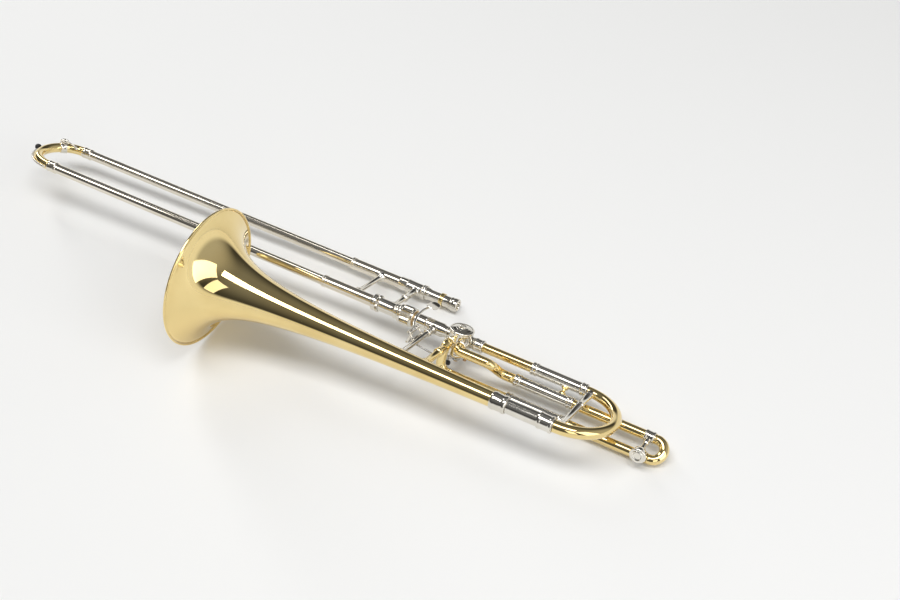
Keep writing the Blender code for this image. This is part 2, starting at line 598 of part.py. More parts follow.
def hand_slide():
    lower = Vector((0, AXIS_SPACING, 0))
    upper = lower + Vector((0, SLIDE_SPACING, 0))
    joint = SLIDE_FRONT + 0.016
    for name, at in (("upper", upper), ("lower", lower)):
        turned(f"outer_slide_{name}_tube", [(SLIDE_RADIUS, SLIDE_REAR), (SLIDE_RADIUS, GRIP_END + 0.001),
                                            (GRIP_RADIUS, GRIP_END), (GRIP_RADIUS, GRIP_START + 0.005),
                                            (0.0096, GRIP_START + 0.004), (0.0096, GRIP_START),
                                            (SLIDE_RADIUS, GRIP_START - 0.001), (SLIDE_RADIUS, joint + 0.001),
                                            (0.0091, joint), (0.0091, SLIDE_FRONT), (SLIDE_BORE, SLIDE_FRONT),
                                            (SLIDE_BORE, SLIDE_REAR)], CHROME, at)
    x = Vector((OUTER_BRACE_X, 0, 0))
    brace("outer_slide_brace", lower + x, upper + x, GRIP_RADIUS, GRIP_RADIUS, flanged())

    start = Vector((SLIDE_FRONT - GAP, 0, 0))
    forward = Vector((-1, 0, 0))
    swept("slide_crook", half_turn(upper + start, lower + start, forward, 11), CROOK_TUBE, BRASS, TUBE_WALL)
    spread = CROOK_TUBE + GUARD_RADIUS + GAP
    away = Vector((0, spread, 0))
    arc = half_turn(upper + start + away, lower + start - away, forward, 22)
    swept("crook_guard", arc[9:], GUARD_RADIUS, NICKEL, resolution=1)
    middle = (upper + lower) / 2 + start + forward * BOW_LEAD
    nose = middle + forward * (CROOK_RADIUS + spread + GUARD_RADIUS + GAP)
    turned("slide_bumper", [(0, 0.0075), (0.0026, 0.0072), (0.0044, 0.0058), (0.0050, 0.0030), (0.0050, 0.0),
                            (0, 0.0)], RUBBER, nose, forward, 16)
    water_key(middle)


def water_key(centre):
    """The spit valve on the crook: a saddle with a nipple, and a lever with its cork pad."""
    outward = Vector((-math.cos(WATER_KEY_ANGLE), math.sin(WATER_KEY_ANGLE), 0))
    sideways = Vector((outward.y, -outward.x, 0))
    up = Vector((0, 0, 1))
    tube = centre + outward * CROOK_RADIUS
    pivot = tube + outward * 0.001 + up * 0.0128
    tip = CROOK_TUBE + 0.0040
    half = sideways * 0.0058
    saddle = rod("water_key_saddle", tube - half, tube + half, CROOK_TUBE + 0.0016, NICKEL, 14)
    fuse(saddle, rod("nipple", tube + outward * 0.004, tube + outward * tip, 0.0040, NICKEL))
    for side in (-1, 1):
        foot = tube + outward * 0.001 + sideways * (0.0046 * side)
        fuse(saddle, rod("saddle_ear", foot + up * 0.004, foot + up * 0.0148, 0.0017, NICKEL, 8))
    fuse(saddle, rod("saddle_pin", pivot - sideways * 0.0068, pivot + sideways * 0.0068, 0.0011, NICKEL, 8))
    reach = Vector((0, CROOK_RADIUS, 0))
    start = centre + Vector((BOW_LEAD, 0, 0))
    arc = half_turn(start + reach, start - reach, Vector((-1, 0, 0)), 11)
    cut(saddle, as_mesh(swept("saddle_seat", arc, CROOK_TUBE + GAP, STEEL)),
        rod("nipple_bore", tube, tube + outward * (tip + 0.01), 0.0022, STEEL, 10))
    lever = turned("water_key_lever", ring(0.0030, 0.0014, -0.0026, 0.0026), NICKEL, pivot, sideways, 12)
    pad = tube + outward * (tip + GAP)
    over = [pivot + outward * 0.0024 + up * 0.0004, pivot + outward * 0.0085 - up * 0.0008,
            pivot + outward * 0.0150 - up * 0.0060, pad + outward * 0.0056 + up * 0.0030,
            pad + outward * 0.0052]
    inward = Vector((0.963, -0.269, 0))
    touch = [pivot - outward * 0.0024, pivot + inward * 0.012 + up * 0.0012,
             pivot + inward * 0.024 + up * 0.0008, pivot + inward * 0.036 - up * 0.001]
    cup = rod("key_cup", pad + outward * 0.0028, pad + outward * 0.0058, 0.0048, NICKEL, 14)
    fuse(lever, as_mesh(swept("key_arm", over, 0.0016, NICKEL, resolution=1)), cup,
         as_mesh(swept("key_touch", touch, [0.0015, 0.0014, 0.0015, 0.0022], NICKEL, resolution=1)))
    rod("water_key_cork", pad, pad + outward * (0.0028 - GAP), 0.0042, CORK, 14)


def lay_down():
    """Rests the instrument on its bell rim, its mouthpiece receiver and its F bow, centred on z = 0."""
    bow = Vector((F_BOW_START, 0, 0))
    mouth = Vector((MOUTHPIECE_END, AXIS_SPACING + SLIDE_SPACING, 0))
    circle = [Vector((0, math.cos(a), math.sin(a))) for a in (math.tau * i / 360 for i in range(360))]
    feet = [[p * RIM_RADIUS for p in circle],
            [mouth + p * 0.0106 for p in circle],
            half_turn(F_UPPER + bow, F_LOWER + bow, Vector((1, 0, 0)), 60)]
    floor = Vector((0, 0, 1))
    for _ in range(12):
        low = [min(foot, key=floor.dot) for foot in feet]
        low[2] = low[2] - floor * LEG_RADIUS
        floor = (low[1] - low[0]).cross(low[2] - low[0]).normalized()
        if floor.z < 0:
            floor.negate()
    ahead = Vector((1, 0, 0))
    ahead = (ahead - floor * ahead.dot(floor)).normalized()
    REST.matrix_world = Matrix((ahead, floor.cross(ahead), floor)).to_4x4()
    bpy.context.view_layer.update()
    graph = bpy.context.evaluated_depsgraph_get()
    corners = []
    for obj in PARTS.objects:
        if obj is not REST:
            mesh = obj.evaluated_get(graph).to_mesh()
            corners += [obj.matrix_world @ v.co for v in mesh.vertices]
            obj.evaluated_get(graph).to_mesh_clear()
    low = Vector([min(c[i] for c in corners) for i in range(3)])
    high = Vector([max(c[i] for c in corners) for i in range(3)])
    REST.matrix_world = Matrix.Translation(Vector((-(low.x + high.x) / 2, -(low.y + high.y) / 2, -low.z))) @ \
        REST.matrix_world


bell_section()
receiver()
linkage_pin = valve()
gooseneck()
f_tubing()
braces()
trigger(linkage_pin)
main_tuning_slide()
f_tuning_slide()
inner_slide()
hand_slide()
lay_down()
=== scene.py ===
# Tenor trombone with a rotary valve: the finished look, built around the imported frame.
import json
import math

import bmesh
import bpy
from mathutils import Matrix, Vector


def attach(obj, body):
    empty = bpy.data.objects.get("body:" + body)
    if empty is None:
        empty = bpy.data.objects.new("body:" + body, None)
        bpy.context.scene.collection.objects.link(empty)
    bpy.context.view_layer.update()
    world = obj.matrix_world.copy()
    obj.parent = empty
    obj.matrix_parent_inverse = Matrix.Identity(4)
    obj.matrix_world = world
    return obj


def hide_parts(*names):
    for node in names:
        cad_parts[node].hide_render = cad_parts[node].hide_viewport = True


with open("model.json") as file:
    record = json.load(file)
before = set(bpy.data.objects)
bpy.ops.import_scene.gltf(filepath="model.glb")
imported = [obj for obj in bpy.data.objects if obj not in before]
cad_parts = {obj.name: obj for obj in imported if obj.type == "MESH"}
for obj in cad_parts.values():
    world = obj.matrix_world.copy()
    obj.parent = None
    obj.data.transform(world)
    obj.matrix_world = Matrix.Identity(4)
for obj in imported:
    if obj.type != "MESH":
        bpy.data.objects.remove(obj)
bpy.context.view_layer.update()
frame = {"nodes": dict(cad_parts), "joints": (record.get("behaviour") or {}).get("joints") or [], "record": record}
record = frame["record"]
bodyOf = {node: body for body, nodes in record["behaviour"]["bodies"].items() for node in nodes}
slotOf = {part["node"]: part["material_slot"] for part in record["subparts"]}

# the horn's own axes: x back from the bell's rim, y from the bell to the slide, z out of the bell section
back, aside, out = Vector((1, 0, 0)), Vector((0, 1, 0)), Vector((0, 0, 1))
bellAxis, slideAxis, upperAxis = aside * 0, aside * 0.125, aside * 0.213
valveSpot = Vector((0.364, 0.1158, 0))
joints = {joint["name"]: joint for joint in frame["joints"]}
hornZ = Vector(joints["rotor_turn"]["axis"])
hornX = -Vector(joints["hand_slide_travel"]["axis"])
hornTurn = Matrix((hornX, hornZ.cross(hornX), hornZ)).transposed()
hornStart = Vector(joints["rotor_turn"]["pos_m"]) - hornTurn @ valveSpot
hornToWorld = Matrix.Translation(hornStart) @ hornTurn.to_4x4()
spaceless = Matrix.Identity(4)
gap = 0.0003  # between pieces that only meet
sink = 0.0002  # soldered feet reach this far into their tube
crispTurn = math.radians(38)  # sharper edges stay crisp
print("frame loaded,", len(frame["nodes"]), "nodes")


class Wire:
    def __init__(self, look, socket):
        self.look, self.socket = look, socket

    def maths(self, operation, other):
        return self.look.node("ShaderNodeMath", {"operation": operation}, {0: self, 1: other})

    def __add__(self, other):
        return self.maths("ADD", other)

    def __mul__(self, other):
        return self.maths("MULTIPLY", other)

    __radd__ = __add__
    __rmul__ = __mul__


class Look:
    def __init__(self, name, shelf=bpy.data.materials, shader="Principled BSDF"):
        self.material = shelf.new(name)
        self.material.use_nodes = True
        self.tree = self.material.node_tree
        self.shader = self.tree.nodes[shader]

    def feed(self, socket, value):
        if isinstance(value, Wire):
            self.tree.links.new(value.socket, socket)
        else:
            socket.default_value = value

    def node(self, kind, settings=None, sockets=None, output=0):
        made = self.tree.nodes.new(kind)
        for key, value in (settings or {}).items():
            if key == "stops":
                for i, (spot, colour) in enumerate(value):
                    stop = made.color_ramp.elements[i] if i < 2 else made.color_ramp.elements.new(spot)
                    stop.position, stop.color = spot, (*colour, 1)
            else:
                setattr(made, key, value)
        for key, value in (sockets or {}).items():
            self.feed(made.inputs[key], value)
        return Wire(self, made.outputs[output])

    def noise(self, spot, scale, detail):
        return self.node("ShaderNodeTexNoise", {}, {"Vector": spot, "Scale": scale, "Detail": detail})

    def span(self, value, start, end, curve="LINEAR"):
        sockets = {"Value": value, "From Min": start, "From Max": end}
        return self.node("ShaderNodeMapRange", {"interpolation_type": curve}, sockets)

    def ramp(self, value, stops):
        return self.node("ShaderNodeValToRGB", {"stops": stops}, {"Fac": value})

    def mix(self, first, second, share):
        return self.node("ShaderNodeMix", {"data_type": "RGBA"}, {0: share, 6: first, 7: (*second, 1)}, 2)

    def vectors(self, operation, first, second, output="Vector"):
        return self.node("ShaderNodeVectorMath", {"operation": operation}, {0: first, 1: second}, output)

    def bump(self, height, strength, depth):
        return self.node("ShaderNodeBump", {}, {"Height": height, "Strength": strength, "Distance": depth})

    def dress(self, **values):
        for key, value in values.items():
            self.feed(self.shader.inputs[key.replace("_", " ")], value)


# the darkest colour in each finish is painted shade, laid into the hollows
brassLacquer = {"light": (0.88, 0.70, 0.33), "deep": (0.80, 0.61, 0.26), "worn": (0.90, 0.76, 0.46),
                "hollowShade": (0.36, 0.24, 0.09), "gloss": 0.03, "smudge": 0.05, "wipe": 0.03, "cloud": 14,
                "fine": 260, "bump": 0.0015, "coat": 0.35}
nickelPolish = {"light": (0.80, 0.77, 0.70), "deep": (0.66, 0.62, 0.54), "worn": (0.84, 0.75, 0.56),
                "hollowShade": (0.26, 0.23, 0.18), "gloss": 0.045, "smudge": 0.08, "wipe": 0.04, "cloud": 22,
                "fine": 340, "bump": 0.003, "coat": 0.0}
chromeTube = {"light": (0.83, 0.78, 0.68), "deep": (0.73, 0.67, 0.55), "worn": (0.84, 0.76, 0.58),
              "hollowShade": (0.30, 0.26, 0.20), "gloss": 0.035, "smudge": 0.06, "wipe": 0.05, "cloud": 11,
              "fine": 420, "bump": 0.002, "coat": 0.0}
bareBrass = {"light": (0.70, 0.50, 0.25), "deep": (0.47, 0.30, 0.12), "worn": (0.85, 0.68, 0.38),
             "hollowShade": (0.16, 0.10, 0.05), "gloss": 0.28, "smudge": 0.22, "wipe": 0.08, "cloud": 60,
             "fine": 900, "bump": 0.05, "coat": 0.0}
plainSteel = {"light": (0.58, 0.57, 0.55), "deep": (0.42, 0.41, 0.39), "worn": (0.70, 0.69, 0.66),
              "hollowShade": (0.14, 0.12, 0.10), "gloss": 0.17, "smudge": 0.16, "wipe": 0.08, "cloud": 45,
              "fine": 700, "bump": 0.03, "coat": 0.0}
# the crevice entries set how far ambient occlusion looks, and the range over which the painted shade in hollows
# comes in
metalWearAndShade = {"tone": (0.30, 0.62), "wiped": (0.45, 0.75), "rubbed": (0.5, 0.8), "cloth": (30, 1100, 1100),
             "edge": 0.0007, "edgeTurn": (0.995, 0.90), "crevice": 0.0025, "creviceShade": (0.75, 0.35),
             "bump": 0.0006, "coatGloss": 0.04}
corkGrain = {"light": (0.60, 0.40, 0.22), "mid": (0.45, 0.27, 0.13), "deep": (0.20, 0.11, 0.05),
             "tone": (0.25, 0.75, 0.45), "grain": 900, "speck": 420, "pits": 0.35, "bump": 0.0004}
rubberSkin = {"light": (0.030, 0.030, 0.031), "deep": (0.012, 0.012, 0.013), "tone": (0.35, 0.70),
              "grain": 800, "pits": 0.15, "bump": 0.0003}


def metalLook(name, finish):
    look = Look(name)
    spot = look.node("ShaderNodeTexCoord", output="Object")
    cloud = look.noise(spot, finish["cloud"], 5.0)
    fine = look.noise(spot, finish["fine"], 3.0)
    wipe = look.noise(look.vectors("MULTIPLY", spot, metalWearAndShade["cloth"]), 1.0, 2.0)  # cloth marks
    rounded = look.node("ShaderNodeBevel", {"samples": 4}, {"Radius": metalWearAndShade["edge"]})
    facing = look.node("ShaderNodeNewGeometry", output="Normal")
    edge = look.span(look.vectors("DOT_PRODUCT", rounded, facing, "Value"), *metalWearAndShade["edgeTurn"])
    # painted shade: ambient occlusion finds the hollows, and below the tone is darkened there in blotches
    clear = look.node("ShaderNodeAmbientOcclusion", {"samples": 6, "only_local": True},
                      {"Distance": metalWearAndShade["crevice"]}, "AO")
    crevice = look.span(clear, *metalWearAndShade["creviceShade"])
    tone = look.ramp(cloud, list(zip(metalWearAndShade["tone"], (finish["deep"], finish["light"]))))
    worn = edge * look.span(cloud + fine * 0.3, *metalWearAndShade["rubbed"])
    tone = look.mix(tone, finish["worn"], worn)
    tone = look.mix(tone, finish["hollowShade"], crevice * (0.3 + cloud * 0.6))
    wiped = look.span(cloud, *metalWearAndShade["wiped"])
    rough = finish["gloss"] + wiped * finish["smudge"] + fine * finish["smudge"] * 0.4
    rough = rough + wipe * wiped * finish["wipe"] + worn * 0.1 + crevice * 0.25
    bump = look.bump(fine * 0.5 + cloud * 0.5, finish["bump"], metalWearAndShade["bump"])
    look.dress(Base_Color=tone, Roughness=rough, Normal=bump, Metallic=1.0, Coat_Weight=finish["coat"],
               Coat_Roughness=metalWearAndShade["coatGloss"])
    return look.material


def corkLook(name, finish):
    look = Look(name)
    spot = look.node("ShaderNodeTexCoord", output="Object")
    grain = look.node("ShaderNodeTexVoronoi", {}, {"Vector": spot, "Scale": finish["grain"]})
    speck = look.noise(spot, finish["speck"], 6.0)
    mottle = grain * 0.55 + speck * 0.6
    tone = look.ramp(mottle, list(zip(finish["tone"], (finish["deep"], finish["light"], finish["mid"]))))
    bump = look.bump(mottle, finish["pits"], finish["bump"])
    look.dress(Base_Color=tone, Roughness=0.82 + speck * 0.15, Normal=bump)
    return look.material


def rubberLook(name, finish):
    look = Look(name)
    spot = look.node("ShaderNodeTexCoord", output="Object")
    grain = look.noise(spot, finish["grain"], 4.0)
    tone = look.ramp(grain, list(zip(finish["tone"], (finish["deep"], finish["light"]))))
    bump = look.bump(grain, finish["pits"], finish["bump"])
    look.dress(Base_Color=tone, Roughness=0.45 + grain * 0.3, Normal=bump)
    return look.material


finishes = {"lacquered_brass": metalLook("lacquered_brass_look", brassLacquer),
            "nickel_silver": metalLook("nickel_silver_look", nickelPolish),
            "chromed_tube": metalLook("chromed_tube_look", chromeTube),
            "raw_brass": metalLook("raw_brass_look", bareBrass),
            "steel": metalLook("steel_look", plainSteel),
            "cork": corkLook("cork_look", corkGrain),
            "black_rubber": rubberLook("black_rubber_look", rubberSkin)}
for nodeName, node in frame["nodes"].items():
    node.data.materials.clear()
    node.data.materials.append(finishes[slotOf[nodeName]])
print("finishes ready")


def placed(at, along):
    turn = Vector((0, 0, 1)).rotation_difference(Vector(along))
    return Matrix.Translation(at) @ turn.to_matrix().to_4x4()


def spoke(degrees):
    return Vector((math.cos(math.radians(degrees)), math.sin(math.radians(degrees)), 0))


def addTo(bm, part, matrix=spaceless):
    bmesh.ops.transform(part, matrix=matrix, space=spaceless, verts=part.verts)
    shell = bpy.data.meshes.new("shell")
    part.to_mesh(shell)
    part.free()
    bm.from_mesh(shell)
    bpy.data.meshes.remove(shell)


def lathe(bm, outline, at, along=back, steps=64, soften=0.0004, knurl=None):
    part = bmesh.new()
    verts = [part.verts.new((r, 0, h)) for r, h in outline]
    edges = [part.edges.new(pair) for pair in zip(verts, verts[1:])]
    if outline[0][0] > 0:  # a hollow piece: its outline closes
        edges.append(part.edges.new((verts[-1], verts[0])))
    bmesh.ops.spin(part, geom=verts + edges, cent=(0, 0, 0), axis=(0, 0, 1), angle=math.tau, steps=steps,
                   use_merge=True)
    bmesh.ops.remove_doubles(part, verts=part.verts, dist=0.000002)
    bmesh.ops.recalc_face_normals(part, faces=part.faces)
    if soften:
        corners = [e for e in part.edges if e.is_manifold and e.calc_face_angle() > 0.5]
        bmesh.ops.bevel(part, geom=corners, offset=soften, offset_type="OFFSET", affect="EDGES", segments=2,
                        profile=0.5, material=-1, clamp_overlap=True)
    if knurl:  # every other step is pressed in, between two heights and beyond a radius
        for v in part.verts:
            r = v.co.xy.length
            if knurl["low"] < v.co.z < knurl["high"] and r > knurl["inner"]:
                step = round(math.atan2(v.co.y, v.co.x) / math.tau * steps)
                if step % 2:
                    v.co.xy *= 1 - knurl["depth"] / r
    addTo(bm, part, placed(at, along))


def rod(bm, start, end, radius, steps=20, soften=0.0003):
    length = (end - start).length
    lathe(bm, [(0, length), (radius, length), (radius, 0), (0, 0)], start, end - start, steps, soften)


def ball(bm, centre, radius):
    part = bmesh.new()
    bmesh.ops.create_uvsphere(part, u_segments=32, v_segments=18, radius=radius)
    addTo(bm, part, Matrix.Translation(centre))


def sweep(bm, points, radii, sides=20, caps=True):
    part = bmesh.new()
    runs = [(b - a).normalized() for a, b in zip(points, points[1:])]
    ways = [runs[0]] + [(a + b).normalized() for a, b in zip(runs, runs[1:])] + [runs[-1]]
    bmesh.ops.create_circle(part, cap_ends=False, radius=radii[0], segments=sides,
                            matrix=placed(points[0], ways[0]))
    first = loop = list(part.edges)
    for i in range(1, len(points)):
        grown = bmesh.ops.extrude_edge_only(part, edges=loop)["geom"]
        fresh = {g for g in grown if isinstance(g, bmesh.types.BMVert)}
        loop = [g for g in grown if isinstance(g, bmesh.types.BMEdge) and fresh.issuperset(g.verts)]
        lean = ways[i - 1].rotation_difference(ways[i]).to_matrix().to_4x4()
        move = Matrix.Translation(points[i]) @ lean @ Matrix.Scale(radii[i] / radii[i - 1], 4)
        bmesh.ops.transform(part, matrix=move @ Matrix.Translation(-points[i - 1]), space=spaceless,
                            verts=list(fresh))
    if caps:
        bmesh.ops.edgeloop_fill(part, edges=first)
        bmesh.ops.edgeloop_fill(part, edges=loop)
    bmesh.ops.recalc_face_normals(part, faces=part.faces)
    addTo(bm, part)


def bar(bm, stations, sides=20):
    # a bar through places, each with its own radius
    sweep(bm, [place for place, radius in stations], [radius for place, radius in stations], sides)


def saddle(bm, at, along, radius, tubeWay, reach):
    # the foot of a stay, within reach of its start, drawn in to sit on a round tube
    along = along.normalized()
    across = along.cross(tubeWay)
    for v in bm.verts:
        off = v.co - at
        deep = off.dot(along)
        if deep < reach:
            side = min(abs(off.dot(across)), radius * 0.98)
            v.co += along * (math.sqrt(radius * radius - side * side) - deep)


def finishPiece(bm, node, wall=0.0, name=None, also=(), slot=None):
    bmesh.ops.transform(bm, matrix=hornToWorld, space=spaceless, verts=bm.verts)
    mesh = bpy.data.meshes.new(name or node + "_fine")
    bm.to_mesh(mesh)
    bm.free()
    mesh.shade_smooth()
    mesh.set_sharp_from_angle(angle=crispTurn)
    obj = bpy.data.objects.new(mesh.name, mesh)
    bpy.context.scene.collection.objects.link(obj)
    slot = slot or slotOf[node]
    mesh.materials.append(finishes[slot])
    if wall:
        shell = obj.modifiers.new("wall", "SOLIDIFY")
        shell.thickness, shell.offset = wall, -1
    if name is None:  # a piece with its own name is extra and stands for no node
        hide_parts(node, *also)
    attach(obj, bodyOf[node])


def turnedPiece(node, outline, at, **turning):
    bm = bmesh.new()
    lathe(bm, outline, at, **turning)
    finishPiece(bm, node)


tube = {"wall": 0.0008, "sides": 48, "bendSteps": 14, "bowLead": 0.0015}


def tubePiece(node, points, radii):
    bm = bmesh.new()
    sweep(bm, points, radii, tube["sides"], caps=False)
    finishPiece(bm, node, tube["wall"])


def ring(outer, bore, start, end):
    return [(outer, end), (outer, start), (bore, start), (bore, end)]


def bent(corners, bends):
    points = [corners[0]]
    for before, corner, after, bend in zip(corners, corners[1:], corners[2:], bends):
        inward, onward = (corner - before).normalized(), (after - corner).normalized()
        turn = inward.angle(onward)
        side = (onward - inward * inward.dot(onward)).normalized()
        start = corner - inward * bend * math.tan(turn / 2)
        for i in range(tube["bendSteps"] + 1):
            a = turn * i / tube["bendSteps"]
            points.append(start + inward * bend * math.sin(a) + side * bend * (1 - math.cos(a)))
    return points + [corners[-1]]


def halfTurn(start, end, bulge, steps):
    middle, arm = (start + end) / 2 + bulge * tube["bowLead"], (start - end) / 2
    arc = [math.pi * i / steps for i in range(steps + 1)]
    return [start, *[middle + arm * math.cos(a) + bulge * arm.length * math.sin(a) for a in arc], end]


def stay(node, x, axes, tubes, outline, slot=None):
    # a turned stay from one tube to another, with its outline given in shares of the way
    start, end = [axis + back * x for axis in axes]
    span = end - start
    bm = bmesh.new()
    lathe(bm, [(r, share * span.length) for r, share in [(0, 1), *outline, (0, 0)]], start, span, steps=40)
    saddle(bm, start, span, tubes[0] - sink, back, tubes[0])
    saddle(bm, end, -span, tubes[1] - sink, back, tubes[1])
    finishPiece(bm, node, slot=slot)


bell = {"rim": 0.108, "bead": 0.0017, "beadSides": 20, "lip": 0.0005808, "tuck": 0.0001, "length": 0.484,
        "tail": 0.0112, "flare": 0.79, "wall": 0.0008, "rings": 72, "crowding": 2.2, "steps": 144}


def bellRadius(x):
    reach = bell["length"] / ((bell["rim"] / bell["tail"]) ** (1 / bell["flare"]) - 1)
    return bell["rim"] * ((x + reach) / reach) ** -bell["flare"]


def bellFlare():
    edge = bell["rim"] - 2 * bell["bead"] - gap
    places = [bell["length"] * (i / bell["rings"]) ** bell["crowding"] for i in range(bell["rings"] + 1)]
    outer = [Vector((bellRadius(x), x)) for x in reversed(places) if bellRadius(x) < edge - bell["wall"]]
    outer.append(Vector((edge, bell["lip"] - bell["tuck"])))
    inner = []
    for before, here, after in zip(outer[:1] + outer, outer, outer[1:] + outer[-1:]):
        run = after - before  # the wall's depth is square to the outline
        inner.append(here + Vector((run.y, -run.x)).normalized() * bell["wall"])
    bm = bmesh.new()
    lathe(bm, outer + inner[::-1], bellAxis, steps=bell["steps"], soften=0)
    finishPiece(bm, "bell_flare", also=["bell_tail"])


def bellBead():
    curl = [math.pi / 2 - math.tau * i / bell["beadSides"] for i in range(bell["beadSides"])]
    middle, radius = bell["rim"] - bell["bead"], bell["bead"]
    outline = [(middle + radius * math.cos(a), bell["lip"] + radius * math.sin(a)) for a in curl]
    turnedPiece("bell_rim_bead", outline, bellAxis, steps=bell["steps"], soften=0)


bellFlare()
bellBead()
joinX = bell["length"] + gap  # inside the ferrule, the bell's tail meets the sleeve's
ferruleFront = 0.472
ferruleBore = bellRadius(ferruleFront) + gap
bellFerrule = {"at": bellAxis, "soften": 0.0003, "outline": [
    (0.0120, 0.4960), (0.0127, 0.4952), (0.0133, 0.4935), (0.0133, 0.4915), (0.0126, 0.4900),
    (0.0126, 0.4795), (0.0133, 0.4780), (0.0133, 0.4760), (0.0128, 0.4730),
    (ferruleBore + 0.0004, ferruleFront), (ferruleBore, ferruleFront), (ferruleBore, joinX), (0.0111, joinX),
    (0.0111, 0.4960)]}
turnedPiece("bell_ferrule", **bellFerrule)
bellSleeve = {"at": bellAxis, "soften": 0.0003, "outline": [
    (0.0119, 0.5660), (0.0123, 0.5652), (0.0123, 0.5625), (0.0117, 0.5615), (0.0117, 0.5495),
    (0.0123, 0.5485), (0.0123, 0.5460), (0.0112, 0.5440), (0.0108, 0.5430), (0.0108, joinX + gap),
    (0.0096, joinX + gap), (0.0096, 0.5660)]}
turnedPiece("bell_leg_sleeve", **bellSleeve)
print("bell built")

receiver = {"at": slideAxis, "soften": 0.0003, "outline": [
    (0.0086, 0.3422), (0.0091, 0.3418), (0.0091, 0.3396), (0.0086, 0.3390), (0.0087, 0.3352),
    (0.0105, 0.3310), (0.0105, 0.3080), (0.0110, 0.3072), (0.0110, 0.3045), (0.0105, 0.3037),
    (0.0105, 0.2900), (0.0110, 0.2892), (0.0110, 0.2860), (0.0105, 0.2852), (0.0105, 0.2680),
    (0.0088, 0.2680), (0.0084, 0.3100), (0.0060, 0.3100), (0.0060, 0.3422)]}
turnedPiece("slide_receiver", **receiver)
collar = {"start": 0.268, "end": 0.284, "bore": 0.0108, "nose": 0.0114, "pitch": 0.0016, "turns": 10,
          "thread": [(0.0117, 0), (0.0122, 0.35), (0.0122, 0.65)]}  # radii, and shares of the pitch


def threadCollar():
    outline = [(r, collar["end"] - collar["pitch"] * (turn + share))
               for turn in range(collar["turns"]) for r, share in collar["thread"]]
    outline += [(collar["nose"], collar["start"]), (collar["bore"], collar["start"]),
                (collar["bore"], collar["end"])]
    turnedPiece("receiver_thread_collar", outline, slideAxis, soften=0)


threadCollar()
valve = {"bore": 0.0060, "stub": 0.0086, "root": 0.004, "offset": 0.0092, "mainReach": 0.0215,
         "fReach": 0.0186, "seat": {"radius": 0.0166, "reach": 0.008},
         "rim": [(0, 0), (0, 0.0006), (0.0004, 0.0010), (0.0004, 0.0022), (0, 0.0027)],  # lift and depth
         "screws": {"angles": (75, 195, 315), "circle": 0.0140, "radius": 0.0017, "ends": (-0.0196, -0.0211)},
         "body": [(0.0156, 0.0170), (0.0176, 0.0170), (0.0180, 0.0164), (0.0180, 0.0135), (0.0175, 0.0128),
                  (0.0175, -0.0150), (0.0180, -0.0157), (0.0180, -0.0190), (0.0175, -0.0200),
                  (0.0080, -0.0200), (0.0078, -0.0225), (0.0072, -0.0228), (0.0034, -0.0228),
                  (0.0034, -0.0150), (0.0156, -0.0150)]}


def valveCasing():
    bm = bmesh.new()
    lathe(bm, valve["body"], valveSpot, out, steps=96, soften=0.0003)
    stub, bore, root = valve["stub"], valve["bore"], valve["root"]
    main, side = aside * valve["offset"], back * valve["offset"]
    for foot, way, reach in ((main, back, valve["mainReach"]), (main, -back, valve["mainReach"]),
                             (side, -aside, valve["fReach"]), (-side, -aside, valve["fReach"])):
        port = bmesh.new()
        outline = [(stub + lift, reach - deep) for lift, deep in valve["rim"]]
        lathe(port, outline + [(stub, root), (bore, root), (bore, reach)], valveSpot + foot, way, soften=0)
        saddle(port, valveSpot, way, valve["seat"]["radius"], out, valve["seat"]["reach"])
        addTo(bm, port)
    screws = valve["screws"]
    for angle in screws["angles"]:  # of the back plate
        start, end = [valveSpot + spoke(angle) * screws["circle"] + out * h for h in screws["ends"]]
        rod(bm, start, end, screws["radius"], soften=0.0002)
    finishPiece(bm, "valve_casing")


valveCasing()
valveCap = {"at": valveSpot, "along": out, "steps": 208, "soften": 0.0002, "outline": [
    (0.0016, 0.0262), (0.0046, 0.0262), (0.0053, 0.0257), (0.0056, 0.0248), (0.0056, 0.0234),
    (0.0064, 0.0227), (0.0094, 0.0221), (0.0096, 0.0218), (0.0138, 0.0212), (0.0144, 0.0209),
    (0.0150, 0.0213), (0.0168, 0.0209), (0.0178, 0.0203), (0.0184, 0.0195), (0.0184, 0.0178),
    (0.0179, 0.0173), (0.0016, 0.0173)],
    "knurl": {"low": 0.0180, "high": 0.0194, "inner": 0.0180, "depth": 0.0003}}
turnedPiece("valve_cap", **valveCap)
stopArm = {"rest": 225, "level": -0.0272,
           "hub": {"outer": 0.0062, "bore": 0.0031, "start": -0.0302, "end": -0.0242},
           "arm": [(0.0045, 0.0028), (0.0080, 0.0024), (0.0120, 0.0024), (0.0142, 0.0019)],  # reach, radius
           "tail": [(-0.0045, 0.0028), (-0.0090, 0.0024), (-0.0140, 0.0022)],
           "pin": {"reach": 0.012, "radius": 0.0016, "tip": -0.0335}}


def rotorStopArm():
    outward, level, pin = spoke(stopArm["rest"]), valveSpot + out * stopArm["level"], stopArm["pin"]
    bm = bmesh.new()
    lathe(bm, ring(**stopArm["hub"]), valveSpot, out, steps=40)
    for limb in (stopArm["arm"], stopArm["tail"]):
        bar(bm, [(level + outward * reach, radius) for reach, radius in limb])
    foot = outward * pin["reach"]
    rod(bm, level + foot, valveSpot + foot + out * pin["tip"], pin["radius"])
    finishPiece(bm, "rotor_stop_arm")


rotorStopArm()
bumper = {"circle": 0.013, "angles": {"rest_stop_bumper": 20, "open_stop_bumper": 160},
          "outline": [(0, -0.0203), (0.0027, -0.0203), (0.0027, -0.0300), (0.0022, -0.0305), (0, -0.0305)]}
for node, angle in bumper["angles"].items():
    turnedPiece(node, bumper["outline"], valveSpot + spoke(angle) * bumper["circle"], along=out, steps=32)
print("valve built")

